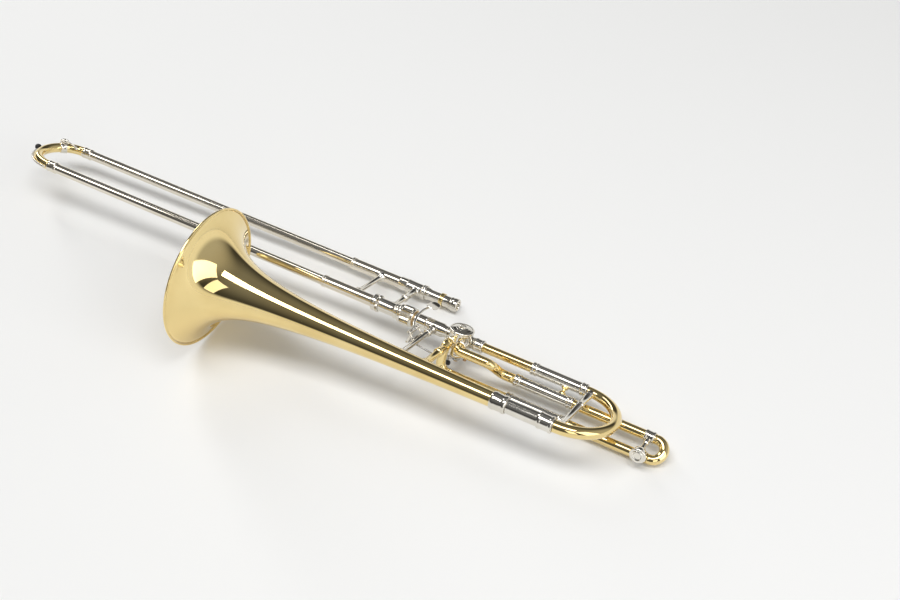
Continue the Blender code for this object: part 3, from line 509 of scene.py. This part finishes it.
gooseneck = {"outer": 0.0072, "bore": 0.0066, "start": 0.3858, "end": 0.487}
turnedPiece("gooseneck", ring(**gooseneck), slideAxis)
gooseneckFerrule = {"at": slideAxis, "soften": 0.0003, "outline": [
    (0.0082, 0.3995), (0.0092, 0.3992), (0.0101, 0.3978), (0.0101, 0.3962), (0.0096, 0.3955),
    (0.0096, 0.3890), (0.0101, 0.3882), (0.0101, 0.3862), (0.0095, 0.3850), (0.0089, 0.3850),
    (0.0089, 0.3858), (0.0075, 0.3858), (0.0075, 0.3995)]}
turnedPiece("gooseneck_ferrule", **gooseneckFerrule)
sleeve = {"bore": 0.0077, "soften": 0.0002, "goose": (0.479, 0.566), "f": (0.464, 0.557),
          "end": [(0.0095, 0), (0.0099, 0.0006), (0.0099, 0.0026), (0.0094, 0.0034), (0.0094, 0.0056),
                  (0.0099, 0.0064), (0.0099, 0.0082), (0.0087, 0.0098)]}  # radii, and depths from an end


def tuningSleeve(node, start, end, axis):
    outline = [(r, end - deep) for r, deep in sleeve["end"]]
    outline += [(r, start + deep) for r, deep in reversed(sleeve["end"])]
    outline += [(sleeve["bore"], start), (sleeve["bore"], end)]
    turnedPiece(node, outline, axis, soften=sleeve["soften"])


fAxes = {"upper": Vector((0, 0.1065, -0.0185)), "lower": Vector((0, 0.083, -0.039))}
fUpper, fLower = fAxes.values()
tuningSleeve("gooseneck_sleeve", *sleeve["goose"], slideAxis)
for node, axis in fAxes.items():
    tuningSleeve(f"f_{node}_sleeve", *sleeve["f"], axis)

fTubes = {"radius": 0.0072, "portY": 0.0969, "end": 0.470}
fUpperTube = {"elbow": Vector((0.3732, 0.0869, 0)), "leave": 0.426, "settle": 0.442,
              "bends": (0.0076, 0.015, 0.015)}
fLowerTube = {"elbow": Vector((0.3548, fLower.y, 0)), "bends": (0.0116, 0.015)}


def fTube(node, elbow, onward, bends):
    points = bent([Vector((elbow.x, fTubes["portY"], 0)), elbow, *onward], bends)
    tubePiece(node, points, [fTubes["radius"]] * len(points))


fTube("f_upper_tube", fUpperTube["elbow"],
      [Vector((fUpperTube["leave"], fUpperTube["elbow"].y, 0)), fUpper + back * fUpperTube["settle"],
       fUpper + back * fTubes["end"]], fUpperTube["bends"])
fTube("f_lower_tube", fLowerTube["elbow"],
      [fLowerTube["elbow"] + out * fLower.z, fLower + back * fTubes["end"]], fLowerTube["bends"])

flange, post = 0.0075, 0.0040  # radii that three of the stays share
frontX = 0.318
frontBrace = {"x": frontX, "axes": (bellAxis, slideAxis), "tubes": (bellRadius(frontX), 0.0105), "outline": [
    (flange, 1.0), (flange, 0.900), (0.0066, 0.888), (0.0046, 0.872), (post, 0.862), (post, 0.835),
    (0.0052, 0.832), (0.0060, 0.822), (0.0060, 0.790), (0.0052, 0.780), (post, 0.776), (post, 0.190),
    (0.0050, 0.184), (0.0050, 0.166), (0.0062, 0.158), (flange, 0.150), (flange, 0.0)]}
stay("front_bell_brace", **frontBrace)
rearBrace = {"x": 0.3548, "drop": -0.003, "reach": 0.016, "outline": [
    (0, 0.0840), (0.0062, 0.0840), (0.0062, 0.0708), (0.0068, 0.0702), (0.0072, 0.0692), (0.0072, 0.0630),
    (0.0066, 0.0622), (0.0054, 0.0614), (0.0054, 0.0290), (0.0062, 0.0284), (0.0062, 0.0262),
    (0.0072, 0.0245), (0.0082, 0.0220), (0.0082, 0), (0, 0)]}


def rearBellBrace():
    foot = back * rearBrace["x"]
    bm = bmesh.new()
    lathe(bm, rearBrace["outline"], foot + out * rearBrace["drop"], aside, steps=48)
    saddle(bm, foot, aside, bellRadius(rearBrace["x"]) - sink, back, rearBrace["reach"])
    finishPiece(bm, "rear_bell_brace")


rearBellBrace()
fBrace = {"x": 0.535, "axes": (slideAxis, fUpper), "tubes": (0.0087, 0.0087), "outline": [
    (0.0052, 1.0), (0.0052, 0.62), (0.0026, 0.56), (0.0026, 0.44), (0.0052, 0.38), (0.0052, 0.0)],
    "slot": "lacquered_brass"}
stay("f_tube_brace", **fBrace)
print("bell section built")

hinge = {"at": Vector((0.304, 0.079, 0.008)), "half": 0.013, "reach": 0.0156, "radius": 0.0014,
         "head": [(0, 0), (0.0019, 0), (0.0023, -0.0006), (0.0023, -0.0012), (0, -0.0012)]}
bracket = {"bar": 0.0016, "past": 0.003, "ball": 0.0023,
           "arm": [(0, 0.0022), (0.35, 0.0016), (0.8, 0.0018)],  # shares of the way up, and radii
           "eye": [(0.0029, 0.0020), (0.0034, 0.0013), (0.0034, -0.0013), (0.0029, -0.0020),
                   (0.0018, -0.0020), (0.0018, 0.0020)]}


def triggerBracket():
    middle = Vector((frontX - post - bracket["bar"] - gap, hinge["at"].y, 0))
    half = aside * hinge["half"]
    reach = half + aside * bracket["past"]
    bm = bmesh.new()
    rod(bm, middle - reach, middle + reach, bracket["bar"])
    for side in (-half, half):
        foot, top = middle + side, hinge["at"] + side
        bar(bm, [(foot.lerp(top, share), radius) for share, radius in bracket["arm"]])
        ball(bm, foot, bracket["ball"])
        lathe(bm, bracket["eye"], top, aside, steps=32, soften=0.0002)
    finishPiece(bm, "trigger_bracket")


def hingePin():
    reach = aside * hinge["reach"]
    bm = bmesh.new()
    rod(bm, hinge["at"] - reach, hinge["at"] + reach, hinge["radius"])
    for way in (-1, 1):  # screw heads
        lathe(bm, hinge["head"], hinge["at"] + reach * way, aside * way, steps=24, soften=0.0002)
    finishPiece(bm, "trigger_hinge_pin")


thumb = {"hub": 0.0032, "waist": 0.0027, "bore": 0.0018, "endGap": 0.0026, "step": (0.0045, 0.0040),
         "knots": [(0, 0, 0.0024), (-0.0035, 0.006, 0.0055), (-0.0065, 0.016, 0.0085),
                   (-0.0075, 0.027, 0.0125), (-0.0055, 0.037, 0.0168), (-0.002, 0.046, 0.0187)],
         "thick": 0.0021, "taper": 0.0005, "swing": 36, "arm": 0.027, "armRadii": (0.0022, 0.0018, 0.0020),
         "root": (0.0026, 0.004), "ball": 0.0023, "stud": 0.0014, "studY": 0.005, "studEnds": (-0.002, 0.009)}
plate = {"at": Vector((0.001, 0.054, 0.0195)), "width": 0.017, "length": 0.028, "half": 0.00075,
         "tilt": (-6, 8), "roundness": 2.8, "rise": 0.0018, "crown": 0.0003, "drop": 0.0005,
         "edge": [(0, 1), (0.2, 1), (0.4, 1), (0.6, 1), (0.8, 1), (0.92, 0.95), (0.98, 0.6), (1, 0)]}
fall = math.radians(thumb["swing"] / 2)  # the arm hangs half the swing away from upright
stud = hinge["at"] + Vector((-math.sin(fall), 0, -math.cos(fall))) * thumb["arm"] + aside * thumb["studY"]


def smoothRun(knots, shares=(0, 0.25, 0.5, 0.75)):
    curve = []
    for i in range(len(knots) - 1):
        p0, p1, p2, p3 = knots[max(i - 1, 0)], knots[i], knots[i + 1], knots[min(i + 2, len(knots) - 1)]
        for t in shares:
            curve.append(0.5 * (2 * p1 + (p2 - p0) * t + (2 * p0 - 5 * p1 + 4 * p2 - p3) * t * t
                                + (3 * p1 - p0 - 3 * p2 + p3) * t ** 3))
    return curve + [knots[-1]]


def thumbPlate():
    bm = bmesh.new()
    top = [(r, h * plate["half"]) for r, h in plate["edge"]]
    lathe(bm, top + [(r, -h) for r, h in top[-2::-1]], (0, 0, 0), out, steps=72, soften=0)
    power = plate["roundness"]
    for v in bm.verts:  # a disc drawn out to round corners, then a thumb hollow
        spread = v.co.xy.length
        if spread > 0:
            u, w = v.co.x / spread, v.co.y / spread
            drawn = spread * (abs(u) ** power + abs(w) ** power) ** (-1 / power)
            u, w = u * drawn, w * drawn
            v.co = (u * plate["width"] / 2, w * plate["length"] / 2,
                    v.co.z + plate["rise"] * w * w - plate["crown"] * u * u)
        v.co.z -= plate["drop"]
    return bm


def thumbTrigger():
    at, hub, waist, bore = hinge["at"], thumb["hub"], thumb["waist"], thumb["bore"]
    half = hinge["half"] - thumb["endGap"]
    outer, inner = thumb["step"]
    bm = bmesh.new()
    lathe(bm, [(hub, half), (hub, outer), (waist, inner), (waist, -inner), (hub, -outer), (hub, -half),
               (bore, -half), (bore, half)], at, aside, steps=32, soften=0.0002)
    curve = smoothRun([Vector(knot) for knot in thumb["knots"]])
    bar(bm, [(at + p, thumb["thick"] - thumb["taper"] * i / len(curve)) for i, p in enumerate(curve)])
    tiltX, tiltY = [math.radians(angle) for angle in plate["tilt"]]
    tilt = Matrix.Rotation(tiltX, 4, "X") @ Matrix.Rotation(tiltY, 4, "Y")
    addTo(bm, thumbPlate(), Matrix.Translation(at + plate["at"]) @ tilt)
    deep, over = thumb["root"]
    root = at + (stud - at).normalized() * deep + aside * over
    bar(bm, list(zip((root, root.lerp(stud, 0.5), stud), thumb["armRadii"])))
    ball(bm, stud, thumb["ball"])
    start, end = [stud + aside * y for y in thumb["studEnds"]]
    rod(bm, start, end, thumb["stud"])
    finishPiece(bm, "thumb_trigger")


spring = {"coils": 7, "perCoil": 20, "radius": 0.0031, "width": 0.0072, "wire": 0.0004}


def triggerSpring():
    count = spring["coils"] * spring["perCoil"]
    points = []
    for i in range(count + 1):
        a = math.tau * i / spring["perCoil"]
        y = spring["width"] * i / count - spring["width"] / 2
        points.append(hinge["at"] + Vector((math.cos(a), 0, math.sin(a))) * spring["radius"] + aside * y)
    bm = bmesh.new()
    bar(bm, [(p, spring["wire"]) for p in points], sides=8)
    finishPiece(bm, "trigger_hinge_pin", name="trigger_spring")


triggerBracket()
hingePin()
thumbTrigger()
triggerSpring()
linkage = {"out": 0.006, "level": -0.0370, "radius": 0.0014, "from": 0.0030, "nut": 0.0024,
           "eye": {"outer": 0.0036, "bore": 0.0018, "start": -0.0017, "end": 0.0017},
           "nearNut": (0.0060, 0.0090), "farNut": (-0.0090, -0.0055)}
ballJoint = {"radius": 0.0046, "half": [(0, 0.0030), (0.0030, 0.0030), (0.0040, 0.0025), (0.0046, 0.0014)]}


def linkageRod():
    start = stud + aside * linkage["out"]
    end = valveSpot + spoke(stopArm["rest"]) * stopArm["pin"]["reach"] + out * linkage["level"]
    way = (end - start).normalized()
    stop = end - way * (ballJoint["radius"] + gap)
    bm = bmesh.new()
    lathe(bm, ring(**linkage["eye"]), start, aside, steps=32)
    rod(bm, start + way * linkage["from"], stop, linkage["radius"])
    for foot, (low, high) in ((stop, linkage["farNut"]), (start, linkage["nearNut"])):
        rod(bm, foot + way * low, foot + way * high, linkage["nut"], steps=6, soften=0.0002)
    finishPiece(bm, "linkage_rod")
    outline = ballJoint["half"] + [(r, -h) for r, h in reversed(ballJoint["half"])]
    turnedPiece("linkage_ball_joint", outline, end, along=out, steps=40)


linkageRod()
print("trigger built")

mainSlide = {"legs": 0.490, "start": 0.5672, "goose": 0.0073, "bell": 0.0091, "steps": 72}


def mainBow():
    goose, tail = slideAxis + back * mainSlide["start"], bellAxis + back * mainSlide["start"]
    points = halfTurn(goose, tail, back, mainSlide["steps"])
    growth = (mainSlide["bell"] - mainSlide["goose"]) / (len(points) - 1)
    tubePiece("main_slide_bow", points, [mainSlide["goose"] + growth * i for i in range(len(points))])


def slideLeg(node, radius, start, end, axis):
    turnedPiece(node, ring(radius, radius - tube["wall"], start, end - gap), axis)


mainBow()
slideLeg("main_slide_gooseneck_leg", mainSlide["goose"], mainSlide["legs"], mainSlide["start"], slideAxis)
slideLeg("main_slide_bell_leg", mainSlide["bell"], mainSlide["legs"], mainSlide["start"], bellAxis)
bowTubes = (mainSlide["bell"], mainSlide["goose"])
mainBrace = {"x": 0.5734, "axes": (bellAxis, slideAxis), "tubes": bowTubes, "outline": [
    (0.0060, 1.0), (0.0060, 0.915), (0.0054, 0.905), (0.0060, 0.897), (0.0060, 0.885), (0.0056, 0.878),
    (0.0056, 0.640), (0.0061, 0.634), (0.0061, 0.618), (0.0050, 0.608), (0.0046, 0.602), (0.0046, 0.135),
    (0.0054, 0.128), (0.0060, 0.115), (0.0060, 0.0)]}
stay("main_slide_brace", **mainBrace)

fSlide = {"legs": 0.474, "start": 0.6855, "radius": 0.0073, "steps": 44}
fFerrule = {"soften": 0.0002, "outline": [
    (0.0082, 0.6830), (0.0089, 0.6824), (0.0092, 0.6812), (0.0092, 0.6800), (0.0087, 0.6790),
    (0.0087, 0.6720), (0.0092, 0.6710), (0.0092, 0.6694), (0.0089, 0.6684), (0.0082, 0.6680),
    (0.0076, 0.6680), (0.0076, 0.6830)]}
for node, axis in fAxes.items():
    slideLeg(f"f_slide_{node}_leg", fSlide["radius"], fSlide["legs"], fSlide["start"], axis)
    turnedPiece(f"f_slide_{node}_ferrule", at=axis, **fFerrule)
fStart = back * fSlide["start"]
fBow = halfTurn(fUpper + fStart, fLower + fStart, back, fSlide["steps"])
tubePiece("f_slide_bow", fBow, [fSlide["radius"]] * len(fBow))
knob = {"x": 0.6755, "dip": 12, "height": 0.049, "seat": 0.0088, "reach": 0.0095,
        "head": [(0, 0.0022), (0.0030, 0.0021), (0.0054, 0.0017), (0.0062, 0.0006), (0.0070, 0), (0.0080, 0),
                 (0.0086, 0.0004), (0.0090, 0.0011), (0.0106, 0.0013), (0.0119, 0.0018), (0.0125, 0.0028),
                 (0.0125, 0.0044), (0.0118, 0.0052), (0.0109, 0.0060), (0.0107, 0.0080), (0.0102, 0.0105),
                 (0.0094, 0.0130), (0.0080, 0.0153), (0.0060, 0.0172), (0.0046, 0.0182), (0.0046, 0.0215),
                 (0.0036, 0.0222), (0.0030, 0.0230)],  # radius, and depth below the top
        "stem": [(0.0030, 0.0180), (0.0042, 0.0165), (0.0042, 0), (0, 0)]}


def fSlideKnob():
    foot, dip = fUpper + back * knob["x"], math.radians(knob["dip"])
    way = -aside * math.cos(dip) - out * math.sin(dip)
    bm = bmesh.new()
    head = [(r, knob["height"] - deep) for r, deep in knob["head"]]
    lathe(bm, head + knob["stem"], foot, way, steps=56, soften=0.0002)
    saddle(bm, foot, way, knob["seat"], back, knob["reach"])
    finishPiece(bm, "f_slide_knob")


fSlideKnob()
print("tuning slides built")

slideAxes = {"upper": upperAxis, "lower": slideAxis}
innerTube = {"outline": [
    (0.0066, 0.2572), (0.0066, -0.2960), (0.0068, -0.3000), (0.0068, -0.3940), (0.0066, -0.3945),
    (0.0058, -0.3945), (0.0058, 0.2572)]}
corkBarrel = {"soften": 0.0002, "outline": [
    (0.0112, 0.2575), (0.0118, 0.2567), (0.0118, 0.2548), (0.0112, 0.2538), (0.0112, 0.2528),
    (0.0118, 0.2520), (0.0118, 0.2513), (0.0105, 0.2502), (0.0105, 0.2262), (0.0110, 0.2256),
    (0.0110, 0.2250), (0.0105, 0.2246), (0.0105, 0.2120), (0.0092, 0.2120), (0.0092, 0.2490),
    (0.0069, 0.2490), (0.0069, 0.2575)]}
for node, axis in slideAxes.items():
    turnedPiece(f"inner_slide_{node}_tube", at=axis, **innerTube)
    turnedPiece(f"{node}_cork_barrel", at=axis, **corkBarrel)

innerBrace = {"x": 0.241, "axes": (slideAxis, upperAxis), "tubes": (0.0105, 0.0105), "outline": [
    (flange, 1.0), (flange, 0.885), (0.0066, 0.872), (0.0054, 0.858), (0.0054, 0.545), (0.0061, 0.538),
    (0.0061, 0.500), (0.0050, 0.488), (post, 0.478), (post, 0.150), (0.0052, 0.142), (0.0066, 0.128),
    (flange, 0.115), (flange, 0.0)]}
stay("inner_slide_brace", **innerBrace)
mouthReceiver = {"at": upperAxis, "soften": 0.0002, "outline": [
    (0.0101, 0.3120), (0.0106, 0.3114), (0.0106, 0.3050), (0.0099, 0.3035), (0.0099, 0.3022),
    (0.0103, 0.3014), (0.0103, 0.3004), (0.0092, 0.2995), (0.0087, 0.2750), (0.0086, 0.2640),
    (0.0098, 0.2618), (0.0098, 0.2578), (0.0055, 0.2578), (0.0055, 0.2720), (0.0070, 0.3120)]}
turnedPiece("mouthpiece_receiver", **mouthReceiver)
mouthBand = {"at": upperAxis, "soften": 0.0002, "outline": [
    (0.0099, 0.2880), (0.0103, 0.2875), (0.0103, 0.2825), (0.0099, 0.2820), (0.0093, 0.2820),
    (0.0093, 0.2880)]}
turnedPiece("mouthpiece_receiver_band", **mouthBand)
tenon = {"at": slideAxis, "outline": [
    (0.0079, 0.3060), (0.0083, 0.2680), (0.0083, 0.2578), (0.0060, 0.2578), (0.0060, 0.3060)]}
turnedPiece("slide_tenon", **tenon)
nut = {"at": slideAxis, "steps": 168, "soften": 0.0002, "outline": [
    (0.0138, 0.2835), (0.0145, 0.2828), (0.0145, 0.2808), (0.0139, 0.2800), (0.0148, 0.2790),
    (0.0148, 0.2640), (0.0139, 0.2630), (0.0145, 0.2622), (0.0145, 0.2602), (0.0133, 0.2583),
    (0.0086, 0.2583), (0.0086, 0.2660), (0.0125, 0.2660), (0.0125, 0.2835)],
    "knurl": {"low": 0.2632, "high": 0.2798, "inner": 0.0146, "depth": 0.0004}}
turnedPiece("connecting_nut", **nut)
lockRing = {"at": slideAxis, "steps": 96, "soften": 0.0002, "outline": [
    (0.0122, 0.2245), (0.0129, 0.2238), (0.0129, 0.2206), (0.0124, 0.2202), (0.0124, 0.2172),
    (0.0129, 0.2168), (0.0129, 0.2135), (0.0122, 0.2128), (0.0108, 0.2128), (0.0108, 0.2245)],
    "knurl": {"low": 0.2204, "high": 0.2240, "inner": 0.0127, "depth": 0.0005}}
turnedPiece("slide_lock_ring", **lockRing)
print("slide section built")

outerTube = {"soften": 0.0002, "outline": [
    (0.0074, 0.2435), (0.0076, 0.2432), (0.0076, 0.2115), (0.0084, 0.2108), (0.0088, 0.2098),
    (0.0088, 0.1310), (0.0096, 0.1300), (0.0096, 0.1285), (0.0091, 0.1280), (0.0091, 0.1270),
    (0.0096, 0.1265), (0.0096, 0.1250), (0.0080, 0.1240), (0.0076, 0.1236), (0.0076, -0.3835),
    (0.0086, -0.3845), (0.0091, -0.3855), (0.0091, -0.3875), (0.0087, -0.3882), (0.0087, -0.3968),
    (0.0091, -0.3975), (0.0091, -0.3998), (0.0088, -0.4005), (0.0070, -0.4005), (0.0070, 0.2435)]}
for node, axis in slideAxes.items():
    turnedPiece(f"outer_slide_{node}_tube", at=axis, **outerTube)
outerBrace = {"x": 0.180, "axes": (slideAxis, upperAxis), "tubes": (0.0088, 0.0088), "outline": [
    (flange, 1.0), (flange, 0.885), (0.0066, 0.872), (0.0050, 0.858), (0.0050, 0.840), (post, 0.830),
    (post, 0.170), (0.0050, 0.160), (0.0050, 0.142), (0.0066, 0.128), (flange, 0.115), (flange, 0.0)]}
stay("outer_slide_brace", **outerBrace)

crook = {"start": -0.4008, "radius": 0.044, "tube": 0.0078, "steps": 56}
crookEnds = [axis + back * crook["start"] for axis in (upperAxis, slideAxis)]
crookMiddle = sum(crookEnds, Vector()) / 2 - back * tube["bowLead"]
crookLine = halfTurn(*crookEnds, -back, crook["steps"])
tubePiece("slide_crook", crookLine, [crook["tube"]] * len(crookLine))
guard = {"radius": 0.0018, "steps": 66, "first": 25, "taper": 0.55}  # it begins part of the way round
guardOut = crook["tube"] + guard["radius"] + gap


def crookGuard():
    upper, lower = crookEnds
    line = halfTurn(upper + aside * guardOut, lower - aside * guardOut, -back, guard["steps"])
    line = line[guard["first"]:]
    radii = [guard["radius"] * (guard["taper"] if i in (0, len(line) - 1) else 1) for i in range(len(line))]
    bm = bmesh.new()
    sweep(bm, line, radii, sides=24)
    finishPiece(bm, "crook_guard")


crookGuard()
noseSpot = crookMiddle - back * (crook["radius"] + guardOut + guard["radius"] + gap)
slideBumper = {"at": noseSpot, "along": -back, "steps": 40, "soften": 0, "outline": [
    (0, 0.0075), (0.0015, 0.0074), (0.0028, 0.0070), (0.0040, 0.0061), (0.0047, 0.0047), (0.0050, 0.0030),
    (0.0050, 0.0004), (0.0046, 0), (0, 0)]}
turnedPiece("slide_bumper", **slideBumper)

# the water key's place on the crook, with the lever's hinge above it
keySpot = {"angle": 135, "forward": 0.001, "up": 0.0128, "tip": 0.0118}
keyOut = spoke(keySpot["angle"])
keySide = Vector((keyOut.y, -keyOut.x, 0))
keyTube = crookMiddle + keyOut * crook["radius"]
keyHinge = keyTube + keyOut * keySpot["forward"] + out * keySpot["up"]
keyPad = keyTube + keyOut * (keySpot["tip"] + gap)
keySaddle = {"band": {"half": 0.0058, "steps": 8, "radius": 0.0092, "edge": 0.0088, "wall": 0.0012},
             "nipple": [(0.0036, 0.0118), (0.0040, 0.0114), (0.0040, 0.0100), (0.0052, 0.0088),
                        (0.0052, 0.0080), (0.0022, 0.0080), (0.0022, 0.0118)],
             "posts": 0.0046, "post": [(0.0070, 0.0021), (0.0100, 0.0016), (0.0128, 0.0017)],
             "eye": [(0, 0.0009), (0.0019, 0.0009), (0.0019, -0.0009), (0, -0.0009)],
             "pin": {"half": 0.0068, "radius": 0.0011}}


def waterKeySaddle():
    band, pin = keySaddle["band"], keySaddle["pin"]
    bm = bmesh.new()
    half = math.degrees(band["half"] / crook["radius"])  # as an angle round the crook
    turns = [keySpot["angle"] + half * (1 - k / band["steps"]) for k in range(2 * band["steps"] + 1)]
    radii = [band["edge"]] + [band["radius"]] * (len(turns) - 2) + [band["edge"]]
    hoop = bmesh.new()
    arc = [crookMiddle + spoke(turn) * crook["radius"] for turn in turns]
    sweep(hoop, arc, radii, sides=44, caps=False)
    bmesh.ops.solidify(hoop, geom=hoop.faces, thickness=band["wall"])
    addTo(bm, hoop)
    lathe(bm, keySaddle["nipple"], keyTube, keyOut, steps=36, soften=0.0002)
    for side in (-1, 1):
        foot = keyTube + keyOut * keySpot["forward"] + keySide * (keySaddle["posts"] * side)
        bar(bm, [(foot + out * h, radius) for h, radius in keySaddle["post"]])
        lathe(bm, keySaddle["eye"], foot + out * keySpot["up"], keySide, steps=28)
    rod(bm, keyHinge - keySide * pin["half"], keyHinge + keySide * pin["half"], pin["radius"], steps=16)
    finishPiece(bm, "water_key_saddle")


keyLever = {"hub": {"outer": 0.0030, "bore": 0.0014, "start": -0.0026, "end": 0.0026}, "arm": 0.0015,
            "fromHinge": [(0.0024, 0.0004), (0.0085, -0.0008), (0.0150, -0.0060)],  # outward and up
            "fromPad": [(0.0056, 0.0030), (0.0052, 0)],
            "touchWay": Vector((0.963, -0.269, 0)), "touchRoot": 0.0024,
            "touch": [(0.006, 0.0008), (0.012, 0.0012), (0.018, 0.0011), (0.024, 0.0008), (0.030, 0),
                      (0.0345, -0.0008), (0.036, -0.001)],
            "touchRadii": [0.0015, 0.0014, 0.0014, 0.0014, 0.0015, 0.0019, 0.0022, 0.0014],
            "cup": [(0, 0.0058), (0.0030, 0.0058), (0.0044, 0.0050), (0.0048, 0.0040), (0.0048, 0.0028),
                    (0, 0.0028)]}


def waterKeyLever():
    bm = bmesh.new()
    lathe(bm, ring(**keyLever["hub"]), keyHinge, keySide, steps=32, soften=0.0002)
    knots = [keyHinge + keyOut * far + out * up for far, up in keyLever["fromHinge"]]
    knots += [keyPad + keyOut * far + out * up for far, up in keyLever["fromPad"]]
    fine = []
    for p, q in zip(knots, knots[1:]):
        fine += [p, p.lerp(q, 0.5)]
    eased = [(p + q * 2 + r) / 4 for p, q, r in zip(fine, fine[1:], fine[2:])]
    bar(bm, [(p, keyLever["arm"]) for p in [fine[0], *eased, knots[-1]]], sides=18)
    touch = [keyHinge + keyLever["touchWay"] * far + out * up for far, up in keyLever["touch"]]
    sweep(bm, [keyHinge - keyOut * keyLever["touchRoot"], *touch], keyLever["touchRadii"])
    lathe(bm, keyLever["cup"], keyPad, keyOut, steps=36, soften=0.0002)
    finishPiece(bm, "water_key_lever")


waterKeySaddle()
waterKeyLever()
keyCork = {"at": keyPad, "along": keyOut, "steps": 36, "soften": 0.0003,
           "outline": [(0, 0.0025), (0.0042, 0.0025), (0.0042, 0.0004), (0.0038, 0), (0, 0)]}
turnedPiece("water_key_cork", **keyCork)
print("hand slide built")

floorPaper = {"colour": (0.92, 0.92, 0.91), "size": 9.0, "drop": 0.0006, "fade": (2.9, 1.5), "fibre": 60.0}


def makeFloor():
    mesh = bpy.data.meshes.new("floor")
    bm = bmesh.new()
    bmesh.ops.create_grid(bm, x_segments=1, y_segments=1, size=floorPaper["size"] / 2)
    bmesh.ops.translate(bm, vec=(0, 0, -floorPaper["drop"]), verts=bm.verts)
    bm.to_mesh(mesh)
    bm.free()
    floor = bpy.data.objects.new("floor", mesh)
    bpy.context.scene.collection.objects.link(floor)
    paper = Look("floor_paper")
    spot = paper.node("ShaderNodeTexCoord", output="Object")
    fibre = paper.noise(spot, floorPaper["fibre"], 3.0)
    away = paper.node("ShaderNodeVectorMath", {"operation": "LENGTH"}, {0: spot}, "Value")
    shown = paper.span(away, *floorPaper["fade"], "SMOOTHSTEP")  # the floor runs out into the backdrop
    paper.dress(Base_Color=(*floorPaper["colour"], 1), Roughness=0.75 + fibre * 0.15, Alpha=shown)
    mesh.materials.append(paper.material)


lamps = {"top": {"at": (0.1, -0.8, 5.0), "size": (5.6, 1.7), "power": 164, "aim": (0, 0, 0)},
         "side": {"at": (3.70, -0.75, 2.05), "size": (2.5, 3.4), "power": 50, "aim": (-0.3, 0, 0.1)},
         "front": {"at": (2.6, -3.4, 2.3), "size": (1.6, 3.0), "power": 22, "aim": (0.1, 0, 0.1)},
         "rim": {"at": (-3.2, 2.0, 2.2), "size": (0.8, 3.6), "power": 46, "aim": (0, 0, 0.1)}}


def makeLamp(name, at, size, power, aim):
    light = bpy.data.lights.new(name, "AREA")
    light.shape = "RECTANGLE"
    light.size, light.size_y = size
    light.energy = power
    holder = bpy.data.objects.new(name, light)
    bpy.context.scene.collection.objects.link(holder)
    holder.location = at
    holder.rotation_euler = (Vector(aim) - Vector(at)).to_track_quat("-Z", "Y").to_euler()


sky = {"tone": [(0.02, 0.03), (0.85, 0.20), (0.35, 0.07)],  # height and level: low, high, between
       "backdrop": 0.91, "backdropFade": (0.20, 0.03),  # heights between which the metal loses it
       "glow": {"az": 20, "el": 18, "inner": 12, "outer": 54, "level": 0.46}}


def makeSky():
    studio = Look("studio", bpy.data.worlds, "Background")
    bpy.context.scene.world = studio.material
    way = studio.node("ShaderNodeTexCoord", output="Generated")
    height = studio.node("ShaderNodeSeparateXYZ", {}, {0: way}, "Z")
    tone = studio.ramp(height, [(spot, (level,) * 3) for spot, level in sky["tone"]])
    glow = sky["glow"]  # a soft pale patch beyond the valve
    lift = math.radians(glow["el"])
    middle = spoke(glow["az"]) * math.cos(lift) + out * math.sin(lift)
    near = studio.vectors("DOT_PRODUCT", way, middle, "Value")
    edges = [math.cos(math.radians(glow[edge])) for edge in ("outer", "inner")]
    tone = studio.mix(tone, (glow["level"],) * 3, studio.span(near, *edges, "SMOOTHSTEP"))
    low = studio.span(height, *sky["backdropFade"], "SMOOTHSTEP")
    seen, shiny, clear = [studio.node("ShaderNodeLightPath", output=f"Is {ray} Ray")
                          for ray in ("Camera", "Glossy", "Transmission")]
    tone = studio.mix(tone, (sky["backdrop"],) * 3, seen + (shiny + clear) * low)
    studio.dress(Color=tone, Strength=1.0)


# the photograph's camera, given in the horn's own axes, with the picture moved over to fit the slide in
view = {"at": (1.043, -1.699, 1.020), "ahead": (-0.311, 0.842, -0.440), "right": (0.880, 0.431, 0.202),
        "focal": 1500, "width": 900, "over": 25, "sensor": 36}


def makeCamera():
    ahead, right = Vector(view["ahead"]).normalized(), Vector(view["right"])
    right = (right - ahead * right.dot(ahead)).normalized()
    turn = Matrix((right, right.cross(ahead), -ahead)).transposed()
    lens = bpy.data.cameras.new("photograph")
    lens.sensor_width = view["sensor"]
    lens.lens = view["sensor"] * view["focal"] / view["width"]
    lens.shift_x = -view["over"] / view["width"]
    camera = bpy.data.objects.new("photograph", lens)
    bpy.context.scene.collection.objects.link(camera)
    camera.matrix_world = hornToWorld @ Matrix.Translation(view["at"]) @ turn.to_4x4()
    bpy.context.scene.camera = camera


makeFloor()
for name, lamp in lamps.items():
    makeLamp(name, **lamp)
makeSky()
makeCamera()
bpy.context.scene.view_settings.view_transform = "Standard"
print("stage and camera set")
